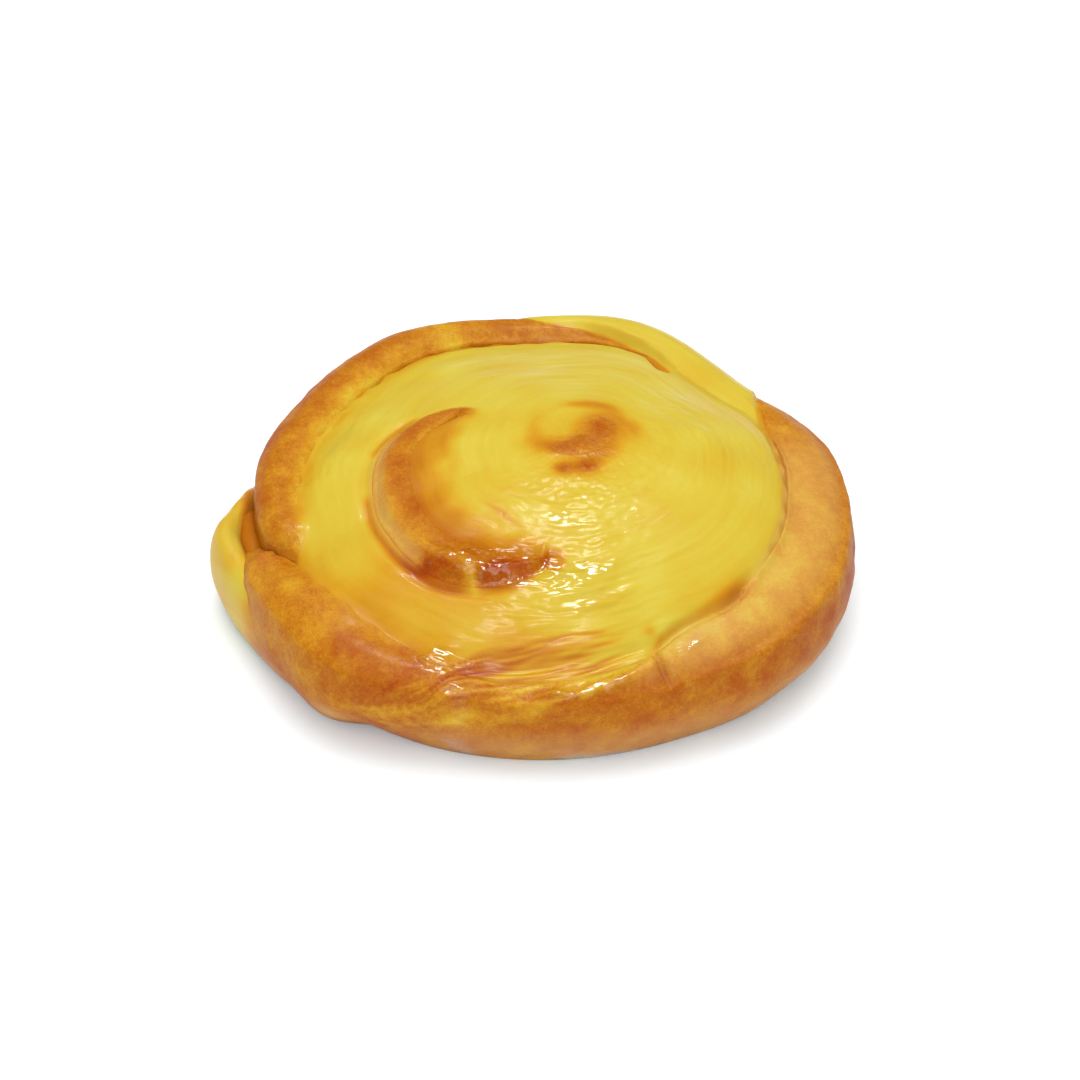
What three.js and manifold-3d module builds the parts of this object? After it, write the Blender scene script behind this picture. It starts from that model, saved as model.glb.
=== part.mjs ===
// A round cream bun: one long strip of yeast dough wound into a snail, with baked custard
// between its turns, over its middle and over two places on its side.
// Millimetres, +Z up, the bun rests on z = 0 with its front towards -Y.
import * as THREE from 'three';
import { mergeVertices } from 'three/addons/utils/BufferGeometryUtils.js';
import Module from 'manifold-3d';

const wasm = await Module();
wasm.setup();

// Driving dimensions of the whole bun.
const CREST_HEIGHT = 32.5; // the custard over the middle of the bun
const RIM_DROP = 2.5; // the custard sinks this far below the crest line of the outer turn
const DOME_FALL = 0.8; // below 1, the custard stays high and falls late towards the rim
const OUTER_CENTRE = [-0.2, -1.8]; // what the outer turn winds round, in the plane of the base
const CRESCENT_CENTRE = [0.8, -5.8]; // what the crescent of crust winds round
const INNER_CENTRE = [7.8, -3.8]; // what the inner end winds round, under the highest place
const TO_CRESCENT = [620, 860]; // the winding over which the centre moves to the crescent's
const TO_INNER = [960, 1150]; // and from there to the inner end's
const PART_GAP = 0.3; // between dough and custard
const FLOOR_GAP = 1.5; // the custard stops short of the base

// Sections of the strip: an upright oval, squared by an exponent and flat where it rests.
const SECTION_SIDES = 10;
const SQUARENESS = 0.88;
const EQUATOR = 0.52; // height of the widest place, as a part of the crest height
const SINK = 1.24; // the lower half would reach this much deeper than the base, which cuts it flat
const TUCK = 0.4; // how much narrower the foot is for that, as a part of its half width
const OUTER_STEP = 6; // degrees of winding between sections
const INNER_STEP = 11;
const TIP_LENGTH = 24; // degrees over which the inner end is rounded off

// Stations along the strip. turn is the winding angle in degrees, counterclockwise from +X seen
// from above; radius is where its crest line runs; inner and outer are its half widths towards
// the middle of the bun and away from it; lean moves its top outwards for each millimetre of height.
const STRIP = [
  { place: 'tail tip', turn: 164, radius: 52.8, inner: 0.5, outer: 0.5, crest: 5, lean: 0 },
  { place: 'left bulge begins', turn: 171, radius: 52.9, inner: 0.7, outer: 0.8, crest: 10, lean: 0 },
  { place: 'left bulge top', turn: 177, radius: 53.9, inner: 1.6, outer: 1.9, crest: 13, lean: 0 },
  { place: 'left bulge', turn: 184, radius: 54.2, inner: 2.0, outer: 2.5, crest: 14.5, lean: 0 },
  { place: 'left bulge foot', turn: 201, radius: 53.4, inner: 2.6, outer: 2.8, crest: 15, lean: 0 },
  { place: 'front left lobe', turn: 212, radius: 49.6, inner: 4.0, outer: 6.7, crest: 19.0, lean: 0 },
  { place: 'front left crest', turn: 229, radius: 47.6, inner: 5.2, outer: 8.8, crest: 20.5, lean: 0 },
  { place: 'front waist', turn: 268, radius: 47.2, inner: 4.0, outer: 6.4, crest: 16.5, lean: 0 },
  { place: 'front ridge', turn: 300, radius: 47.0, inner: 4.2, outer: 7.4, crest: 19, lean: -0.03 },
  { place: 'right front', turn: 332, radius: 48.6, inner: 5.2, outer: 9.3, crest: 21.5, lean: -0.06 },
  { place: 'right side', turn: 364, radius: 48.1, inner: 5.0, outer: 9.5, crest: 22.5, lean: -0.06 },
  { place: 'notch', turn: 398, radius: 45.4, inner: 4.2, outer: 7.7, crest: 21.5, lean: 0 },
  { place: 'back right', turn: 422, radius: 47.4, inner: 6.0, outer: 8.6, crest: 20.4, lean: 0 },
  { place: 'back', turn: 452, radius: 48.0, inner: 6.6, outer: 8.4, crest: 21.8, lean: 0 },
  { place: 'back left', turn: 482, radius: 48.2, inner: 6.6, outer: 8.8, crest: 23.0, lean: 0 },
  { place: 'left', turn: 518, radius: 45.0, inner: 5.6, outer: 8.2, crest: 23.2, lean: 0 },
  { place: 'beside the bulge', turn: 538, radius: 44.4, inner: 5.1, outer: 6.1, crest: 23, lean: 0.05 },
  { place: 'over the bulge', turn: 558, radius: 44.0, inner: 4.9, outer: 5.4, crest: 22.5, lean: 0.08 },
  { place: 'dive', turn: 568, radius: 41.0, inner: 4.7, outer: 4.7, crest: 19.5, lean: 0 },
  { place: 'under the custard', turn: 580, radius: 38.9, inner: 2.8, outer: 2.8, crest: 17, lean: 0 },
  { place: 'under the front left', turn: 600, radius: 39.1, inner: 2.1, outer: 2.1, crest: 16, lean: 0 },
  { place: 'under the front', turn: 640, radius: 39.2, inner: 2.2, outer: 2.2, crest: 16, lean: 0 },
  { place: 'under the front right', turn: 680, radius: 38.4, inner: 3.6, outer: 3.6, crest: 18, lean: 0 },
  { place: 'under the right', turn: 720, radius: 36.0, inner: 4.8, outer: 4.8, crest: 20, lean: 0 },
  { place: 'under the back', turn: 800, radius: 32.0, inner: 5.0, outer: 5.0, crest: 25, lean: 0 },
  { place: 'crescent begins', turn: 862, radius: 27.2, inner: 5.4, outer: 5.2, crest: 28.4, lean: 0 },
  { place: 'crescent', turn: 905, radius: 25.0, inner: 6.0, outer: 5.4, crest: 30.4, lean: 0.04 },
  { place: 'crescent front', turn: 950, radius: 27.6, inner: 6.4, outer: 5.4, crest: 28.8, lean: 0.04 },
  { place: 'crescent ends', turn: 998, radius: 24.6, inner: 5.0, outer: 5.0, crest: 26.4, lean: 0 },
  { place: 'last turn', turn: 1080, radius: 17.4, inner: 4.4, outer: 4.4, crest: 28.5, lean: 0 },
  { place: 'last turn back', turn: 1180, radius: 14.0, inner: 4.0, outer: 4.0, crest: 29.5, lean: 0 },
  { place: 'last turn left', turn: 1280, radius: 11.0, inner: 3.8, outer: 3.8, crest: 31.0, lean: 0 },
  { place: 'curl', turn: 1350, radius: 7.6, inner: 3.6, outer: 3.6, crest: 32.9, lean: 0 },
  { place: 'curl tip', turn: 1500, radius: 4.6, inner: 3.6, outer: 3.4, crest: 33.2, lean: 0 },
];
const STRIP_START = STRIP[0].turn;
const STRIP_END = STRIP[STRIP.length - 1].turn;
const LAP = { from: 196, to: 216 }; // where the outer turn passes under its own start
const OUTER_END = 620; // beyond this winding the turns lie inside the bun

// Ridges of dough that fan out over the custard from the front left lobe.
// The longest ridge is the outermost; each next one ends sooner and lies further in.
const FAN = { count: 3, from: 220, to: 300, sooner: 14, radius: 45.4, spread: 2.8, half: 2.2 };
const FAN_RISE = 1.0; // above the custard
const FAN_DEPTH = 5; // from its top down into the custard
const FAN_THINNING = 0.75; // the part of its width that it loses by its end
const FAN_SIDES = 6;
const FAN_SECTIONS = 7;

// Custard coats: how far the custard stands out from the strip over a stretch of winding, and
// how high up the strip it still reaches at its end, lowered from `lowers` on.
const BACK_COAT = { from: 402, to: 456, thickness: 1.5, cover: 1, lowers: 456 };
const LEFT_COAT = { from: 164, to: 224, thickness: 1.4, cover: 0.7, lowers: 188 };
const SEAM_FILL = { from: 176, to: 214, radius: 51.0, half: 1.8, top: 11.5, inwards: 4, bend: 200 };

const COAT_INSIDE = 0.4; // a coat is thinner towards the middle of the bun
const COAT_TAPER = 0.7; // below 1, a coat keeps its thickness closer to its ends

// The custard's own grid.
const FILL_RINGS = 9;
const FILL_SPOKES = 64;

const radians = THREE.MathUtils.degToRad;
const smooth = THREE.MathUtils.smoothstep;

// A number to a power, keeping its sign.
const bend = (value, power) => Math.sign(value) * Math.abs(value) ** power;

// One measure of the strip at a winding angle: a cubic curve through the stations.
function along(key, turn) {
  const last = STRIP.length - 1;
  const within = THREE.MathUtils.clamp(turn, STRIP_START, STRIP_END);
  const i = Math.max(STRIP.findIndex((station) => station.turn >= within) - 1, 0);
  const slope = (j) => {
    const before = STRIP[Math.max(j - 1, 0)];
    const after = STRIP[Math.min(j + 1, last)];
    return (after[key] - before[key]) / (after.turn - before.turn);
  };
  const span = STRIP[i + 1].turn - STRIP[i].turn;
  const t = (within - STRIP[i].turn) / span;
  const rest = 1 - t;
  return (
    STRIP[i][key] * rest * rest * (1 + 2 * t) +
    STRIP[i + 1][key] * t * t * (3 - 2 * t) +
    slope(i) * span * t * rest * rest -
    slope(i + 1) * span * t * t * rest
  );
}

// What the strip winds round: the outer turn's centre, the crescent's, then the inner end's.
function windingCentre(turn) {
  const toCrescent = smooth(turn, ...TO_CRESCENT);
  const toInner = smooth(turn, ...TO_INNER);
  return [0, 1].map((axis) => {
    const first = OUTER_CENTRE[axis] + (CRESCENT_CENTRE[axis] - OUTER_CENTRE[axis]) * toCrescent;
    return first + (INNER_CENTRE[axis] - CRESCENT_CENTRE[axis]) * toInner;
  });
}

// The middle line of the strip on the floor.
function pathPoint(turn, radius = along('radius', turn)) {
  const [cx, cy] = windingCentre(turn);
  const angle = radians(turn);
  return new THREE.Vector2(cx + radius * Math.cos(angle), cy + radius * Math.sin(angle));
}

// The direction across the strip, away from the centre.
function acrossPath(turn) {
  const ahead = pathPoint(turn + 1).sub(pathPoint(turn - 1)).normalize();
  return new THREE.Vector2(ahead.y, -ahead.x);
}

// One closed section: points of an upright oval that is flat at the level it stands on.
function section({ turn, at, inner, outer, crest, lean, base, sides = SECTION_SIDES }) {
  const across = acrossPath(turn);
  const equator = EQUATOR * crest;
  const points = [];
  for (let side = 0; side < sides; side += 1) {
    const t = (2 * Math.PI * (side + 0.5)) / sides;
    const squareness = t < Math.PI ? SQUARENESS : 1;
    const rise = bend(Math.sin(t), squareness);
    const z = Math.max(equator + rise * (rise > 0 ? crest - equator : SINK * equator), base);
    const tucked = 1 - TUCK * Math.max(1 - z / equator, 0) ** 2;
    const reach = bend(Math.cos(t), squareness) * tucked;
    const out = reach * (reach > 0 ? outer : inner) + lean * (z - equator);
    const x = at.x + across.x * out;
    const y = at.y + across.y * out;
    points.push([x, y, z]);
  }
  return points;
}

// A closed body through sections, each a ring of as many points, with a flat face on each end.
function loft(rings) {
  const sides = rings[0].length;
  const positions = rings.flat(2);
  const index = [];
  for (let r = 0; r + 1 < rings.length; r += 1) {
    for (let s = 0; s < sides; s += 1) {
      const a = r * sides + s;
      const b = r * sides + ((s + 1) % sides);
      index.push(a, a + sides, b, b, a + sides, b + sides);
    }
  }
  const end = (rings.length - 1) * sides;
  for (let s = 1; s + 1 < sides; s += 1) {
    index.push(0, s, s + 1, end, end + s + 1, end + s);
  }
  return solidOf(positions, index);
}

// A manifold solid of loose positions and triangles.
function solidOf(positions, index) {
  const geometry = new THREE.BufferGeometry();
  geometry.setAttribute('position', new THREE.Float32BufferAttribute(positions, 3));
  geometry.setIndex(index);
  const merged = mergeVertices(geometry, 1e-4);
  const mesh = new wasm.Mesh({
    numProp: 3,
    vertProperties: merged.getAttribute('position').array,
    triVerts: new Uint32Array(merged.getIndex().array),
  });
  return new wasm.Manifold(mesh);
}

// Winding angles from one end to the other, close on the outside and wider inside.
function windings(from, to) {
  const turns = [];
  for (let turn = from; turn < to; turn += turn < OUTER_END ? OUTER_STEP : INNER_STEP) {
    turns.push(turn);
  }
  turns.push(to);
  return turns;
}

// The strip of dough, grown by a margin on every side.
function strip(grow = 0) {
  const rings = windings(STRIP_START, STRIP_END).map((turn) => {
    const left = Math.min(Math.max((STRIP_END - turn) / TIP_LENGTH, 0.02), 1);
    const rounding = Math.sqrt(1 - (1 - left) ** 2);
    const ends = (turn === STRIP_END) - (turn === STRIP_START);
    const longer = ends * THREE.MathUtils.radToDeg(grow / along('radius', turn));
    return section({
      turn: turn + longer,
      at: pathPoint(turn + longer),
      inner: along('inner', turn) * rounding + grow,
      outer: along('outer', turn) * rounding + grow,
      crest: along('crest', turn) + grow,
      lean: along('lean', turn),
      base: -grow,
    });
  });
  return loft(rings);
}

// One ridge of the fan, which leaves the lobe and thins out along the custard.
function fanRidge(number, grow = 0) {
  const to = FAN.to - FAN.sooner * number + grow;
  const from = FAN.from - grow;
  const rings = [];
  for (let step = 0; step < FAN_SECTIONS; step += 1) {
    const along01 = step / (FAN_SECTIONS - 1);
    const turn = from + (to - from) * along01;
    const radius = FAN.radius - FAN.spread * number * smooth(along01, 0, 1);
    const half = FAN.half * (1 - FAN_THINNING * along01) + grow;
    const level = fillHeight(radius / boundary('radius', turn), turn);
    const crest = level + FAN_RISE * (1 - along01) + grow;
    rings.push(section({
      turn,
      at: pathPoint(turn, radius),
      inner: half,
      outer: half,
      crest,
      lean: 0,
      base: crest - FAN_DEPTH - 2 * grow,
      sides: FAN_SIDES,
    }));
  }
  return loft(rings);
}

// All the dough as one body, grown by a margin on every side.
function dough(grow = 0) {
  let body = strip(grow);
  for (let number = 0; number < FAN.count; number += 1) {
    body = body.add(fanRidge(number, grow));
  }
  return body;
}

// A coat of custard over a stretch of the strip, thinning out to nothing at both ends.
function coat({ from, to, thickness, cover, lowers }) {
  const rings = windings(from, to).map((turn) => {
    const along01 = (turn - from) / (to - from);
    const depth = thickness * Math.sin(Math.PI * along01) ** COAT_TAPER;
    const crest = along('crest', turn);
    const reach = 1 - (1 - cover) * smooth(turn, lowers, to + 1);
    return section({
      turn,
      at: pathPoint(turn),
      inner: along('inner', turn) + COAT_INSIDE * depth,
      outer: along('outer', turn) + depth,
      crest: crest * reach + depth,
      lean: along('lean', turn) * reach,
      base: FLOOR_GAP,
    });
  });
  return loft(rings);
}

// The thin wall of custard between the left bulge and the turn beside it.
function seamFill({ from, to, radius, half, top, inwards, bend: bendsAt }) {
  const rings = windings(from, to).map((turn) => {
    const at = pathPoint(turn, radius - inwards * smooth(turn, bendsAt, to));
    return section({ turn, at, inner: half, outer: half, crest: top, lean: 0, base: FLOOR_GAP });
  });
  return loft(rings);
}

// A measure of the turn that bounds the custard in a direction from the centre. Where the outer
// turn overlaps itself, it passes smoothly from the inner lap to the outer one.
function boundary(key, angle) {
  const outerLap = along(key, Math.max(angle, LAP.from));
  const innerLap = along(key, Math.min(angle + 360, LAP.to + 360));
  const pass = smooth(angle, LAP.from, LAP.to);
  return outerLap * pass + innerLap * (1 - pass);
}

// The height of the custard at a part of the way from the centre to its boundary.
function fillHeight(part, angle) {
  const rim = boundary('crest', angle) - RIM_DROP;
  return rim + (CREST_HEIGHT - rim) * (1 - part * part) ** DOME_FALL;
}

// The mass of custard between the turns and over the middle, before the dough is cut out.
function fill() {
  const positions = [...INNER_CENTRE, CREST_HEIGHT];
  const index = [];
  for (let ring = 1; ring <= FILL_RINGS; ring += 1) {
    const part = Math.sin((Math.PI / 2) * (ring / FILL_RINGS));
    for (let spoke = 0; spoke < FILL_SPOKES; spoke += 1) {
      const angle = (360 * spoke) / FILL_SPOKES;
      const radius = boundary('radius', angle) * part;
      const shift = 1 - part * part;
      const cx = OUTER_CENTRE[0] + (INNER_CENTRE[0] - OUTER_CENTRE[0]) * shift;
      const cy = OUTER_CENTRE[1] + (INNER_CENTRE[1] - OUTER_CENTRE[1]) * shift;
      positions.push(cx + radius * Math.cos(radians(angle)));
      positions.push(cy + radius * Math.sin(radians(angle)));
      positions.push(fillHeight(part, angle));
    }
  }
  const at = (ring, spoke) => 1 + (ring - 1) * FILL_SPOKES + (spoke % FILL_SPOKES);
  const foot = positions.length / 3;
  for (let spoke = 0; spoke < FILL_SPOKES; spoke += 1) {
    const rim = 3 * at(FILL_RINGS, spoke);
    positions.push(positions[rim], positions[rim + 1], FLOOR_GAP);
    index.push(0, at(1, spoke), at(1, spoke + 1));
    for (let ring = 1; ring < FILL_RINGS; ring += 1) {
      const [a, b] = [at(ring, spoke), at(ring, spoke + 1)];
      const [c, d] = [at(ring + 1, spoke), at(ring + 1, spoke + 1)];
      index.push(a, c, b, b, c, d);
    }
    const [low, next] = [foot + spoke, foot + ((spoke + 1) % FILL_SPOKES)];
    const [top, topNext] = [at(FILL_RINGS, spoke), at(FILL_RINGS, spoke + 1)];
    index.push(top, low, topNext, topNext, low, next);
    index.push(foot + FILL_SPOKES, next, low);
  }
  positions.push(...OUTER_CENTRE, FLOOR_GAP);
  return solidOf(positions, index);
}

// The largest body of a cut solid, without the slivers that the cut leaves.
function largestBody(solid) {
  return solid.decompose().sort((a, b) => b.volume() - a.volume())[0];
}

// A named mesh of a manifold solid.
function meshOf(name, solid, material) {
  const { vertProperties, triVerts } = solid.getMesh();
  const geometry = new THREE.BufferGeometry();
  geometry.setAttribute('position', new THREE.Float32BufferAttribute(vertProperties, 3));
  geometry.setIndex(Array.from(triVerts));
  geometry.computeVertexNormals();
  const mesh = new THREE.Mesh(geometry, material);
  mesh.name = name;
  return mesh;
}

const crust = new THREE.MeshStandardMaterial({ color: '#cf8a33', roughness: 0.5, metalness: 0 });
const bakedCustard = new THREE.MeshStandardMaterial({
  color: '#e8cb42',
  roughness: 0.3,
  metalness: 0,
});

const custard = fill()
  .add(coat(BACK_COAT))
  .add(coat(LEFT_COAT))
  .add(seamFill(SEAM_FILL))
  .subtract(dough(PART_GAP));

const bun = new THREE.Group();
bun.add(meshOf('dough', dough(), crust));
bun.add(meshOf('custard', largestBody(custard), bakedCustard));

export default bun;
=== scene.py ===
"""A round cream bun: a strip of yeast dough wound into a snail, with baked custard between
its turns, over its middle and over two places on its side.

Lengths are in millimetres in the classes and become metres where a mesh is made. The bun
rests on z = 0 with its front towards -Y. Angles are in degrees, counterclockwise from +X seen
from above, round the middle of the outer turn.
"""

import logging  # noqa: E402
import math  # noqa: E402
from dataclasses import dataclass  # noqa: E402
from enum import Enum  # noqa: E402
from typing import Any  # noqa: E402

import bpy  # noqa: E402
import numpy as np  # noqa: E402
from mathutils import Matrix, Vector  # noqa: E402


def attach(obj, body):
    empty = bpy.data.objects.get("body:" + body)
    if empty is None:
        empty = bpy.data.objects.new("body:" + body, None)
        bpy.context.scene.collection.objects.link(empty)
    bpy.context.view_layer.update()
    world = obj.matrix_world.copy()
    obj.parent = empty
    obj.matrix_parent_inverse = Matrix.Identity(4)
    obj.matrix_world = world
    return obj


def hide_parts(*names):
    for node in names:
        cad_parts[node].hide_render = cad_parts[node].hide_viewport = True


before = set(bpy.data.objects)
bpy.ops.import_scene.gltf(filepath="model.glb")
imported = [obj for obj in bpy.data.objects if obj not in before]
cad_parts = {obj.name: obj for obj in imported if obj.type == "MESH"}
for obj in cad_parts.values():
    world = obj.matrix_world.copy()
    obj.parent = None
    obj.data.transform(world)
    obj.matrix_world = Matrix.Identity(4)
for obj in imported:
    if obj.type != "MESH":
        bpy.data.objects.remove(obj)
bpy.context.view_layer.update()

log = logging.getLogger("bun")
logging.basicConfig(level=logging.INFO, format="%(name)s: %(message)s")

MM = 0.001
PICTURE_WIDTH = 1080.0  # the camera's shift is a part of this


class Slot(Enum):
    """The record's material slots."""

    CRUST = "crust"
    CUSTARD = "custard"


# ---------------------------------------------------------------- small mathematics


def ease(value: np.ndarray, low: float | np.ndarray, high: float | np.ndarray) -> np.ndarray:
    """A smooth step: 0 below low, 1 above high, 3u^2 - 2u^3 between them."""
    u = np.clip((value - low) / (high - low), 0.0, 1.0)
    return u * u * (3.0 - 2.0 * u)


def keep_sign_power(value: np.ndarray, power: float | np.ndarray) -> np.ndarray:
    """The size of a number to a power, with the number's sign."""
    return np.sign(value) * np.abs(value) ** power


def soft_max(first: np.ndarray, second: np.ndarray, width: float | np.ndarray) -> np.ndarray:
    """The larger of two heights with a fillet where they meet.

    Args:
        first: one height.
        second: the other height.
        width: the difference in height over which the fillet reaches.

    Returns:
        max(a, b) + width * h^2 / 4, where h = 1 - |a - b| / width, and no less than 0.
    """
    h = np.maximum(1.0 - np.abs(first - second) / width, 0.0)
    return np.maximum(first, second) + width * h * h / 4.0


def mound(x: np.ndarray, y: np.ndarray, spot: tuple[float, ...]) -> np.ndarray:
    """A bell over an oval spot.

    Args:
        x: places to the right of the middle of the outer turn.
        y: places behind it.
        spot: centre x, centre y, half length, half width, and the angle of its length.

    Returns:
        exp(-(u / half length)^2 - (v / half width)^2), with u and v along and across it.
    """
    centre_x, centre_y, length, width, angle = spot
    a = math.radians(angle)
    u = (x - centre_x) * math.cos(a) + (y - centre_y) * math.sin(a)
    v = (y - centre_y) * math.cos(a) - (x - centre_x) * math.sin(a)
    return np.exp(-((u / length) ** 2) - (v / width) ** 2)


def spotted(
    x: np.ndarray, y: np.ndarray, spots: tuple[tuple[tuple[float, ...], float], ...]
) -> np.ndarray:
    """The sum of mounds, each times its own amount."""
    return sum(amount * mound(x, y, spot) for spot, amount in spots)


def bell(value: np.ndarray, middle: float | np.ndarray, width: float) -> np.ndarray:
    """A band round a line: exp(-((value - middle) / width)^2)."""
    return np.exp(-(((value - middle) / width) ** 2))


def drawn_together(angle: np.ndarray, beside: np.ndarray) -> np.ndarray:
    """Places with the winding's direction drawn together: 2.5 (cos, sin) of it, and beside."""
    a = np.radians(angle)
    return np.stack([2.5 * np.cos(a), 2.5 * np.sin(a), beside], -1)


def within(value: np.ndarray, low: float, high: float, soft: float) -> np.ndarray:
    """1 between low and high, falling to 0 over a soft distance outside them."""
    return ease(value, low - soft, low) * (1.0 - ease(value, high, high + soft))


@dataclass(frozen=True)
class Curve:
    """A smooth curve through knots: cubic pieces whose slope at a knot is that between its
    neighbours."""

    knots: tuple[tuple[float, float], ...]
    period: float = 0.0

    def __call__(self, at: np.ndarray) -> np.ndarray:
        """Works the curve out.

        Args:
            at: places along it; along a periodic curve they may be any number.

        Returns:
            The value at each. The knots of a periodic curve repeat on both sides.
        """
        t, v = np.array(self.knots, float).T
        if self.period:
            at = np.mod(at, self.period)
            t = np.concatenate([t - self.period, t, t + self.period])
            v = np.concatenate([v, v, v])
        return smooth_through(t, v, np.asarray(at, float))


def smooth_through(t: np.ndarray, v: np.ndarray, at: np.ndarray) -> np.ndarray:
    """Cubic Hermite pieces through stations.

    Args:
        t: the stations, rising.
        v: the value at each.
        at: where to work the curve out; it is kept between the first and last station.

    Returns:
        v0 (1-u)^2 (1+2u) + v1 u^2 (3-2u) + s0 w u (1-u)^2 - s1 w u^2 (1-u), with u the part of
        the way between two stations, w their distance and s the slopes at them.
    """
    places = np.arange(len(t))
    before, after = np.maximum(places - 1, 0), np.minimum(places + 1, len(t) - 1)
    slope = (v[after] - v[before]) / (t[after] - t[before])
    at = np.clip(at, t[0], t[-1])
    i = np.clip(np.searchsorted(t, at, side="left") - 1, 0, len(t) - 2)
    span = t[i + 1] - t[i]
    u = (at - t[i]) / span
    rest = 1.0 - u
    return (
        v[i] * rest * rest * (1 + 2 * u)
        + v[i + 1] * u * u * (3 - 2 * u)
        + slope[i] * span * u * rest * rest
        - slope[i + 1] * span * u * u * rest
    )


@dataclass(frozen=True)
class Waves:
    """A smooth random field: many cosine waves of about one length, each in its own direction,
    from a fixed seed. Most of it lies between -1 and 1."""

    seed: int
    length: float
    count: int = 28

    def __call__(self, *coordinates: np.ndarray) -> np.ndarray:
        """Works the field out.

        Args:
            coordinates: one array for each coordinate of the points.

        Returns:
            0.6 sqrt(2 / count) times the sum of cos(k (direction . point) + start) over the
            waves.
        """
        dice = np.random.default_rng(self.seed)
        axes = len(coordinates)
        direction = dice.normal(size=(self.count, axes))
        direction /= np.linalg.norm(direction, axis=1, keepdims=True)
        number = 2 * math.pi / (self.length * dice.uniform(0.7, 1.4, self.count))
        phase = dice.uniform(0, 2 * math.pi, self.count)
        total = np.zeros(np.shape(coordinates[0]))
        for way, k, start in zip(direction, number, phase):
            total = total + np.cos(k * sum(w * c for w, c in zip(way, coordinates)) + start)
        return total / math.sqrt(self.count / 2) * 0.6


# ---------------------------------------------------------------- the wound strip


@dataclass(frozen=True)
class Station:
    """A place on the strip: the winding angle, how far its crest line is from the centre, its
    half widths towards the centre and away from it, its height and its lean."""

    place: str
    turn: float
    radius: float
    inner: float
    outer: float
    crest: float
    lean: float = 0.0


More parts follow.
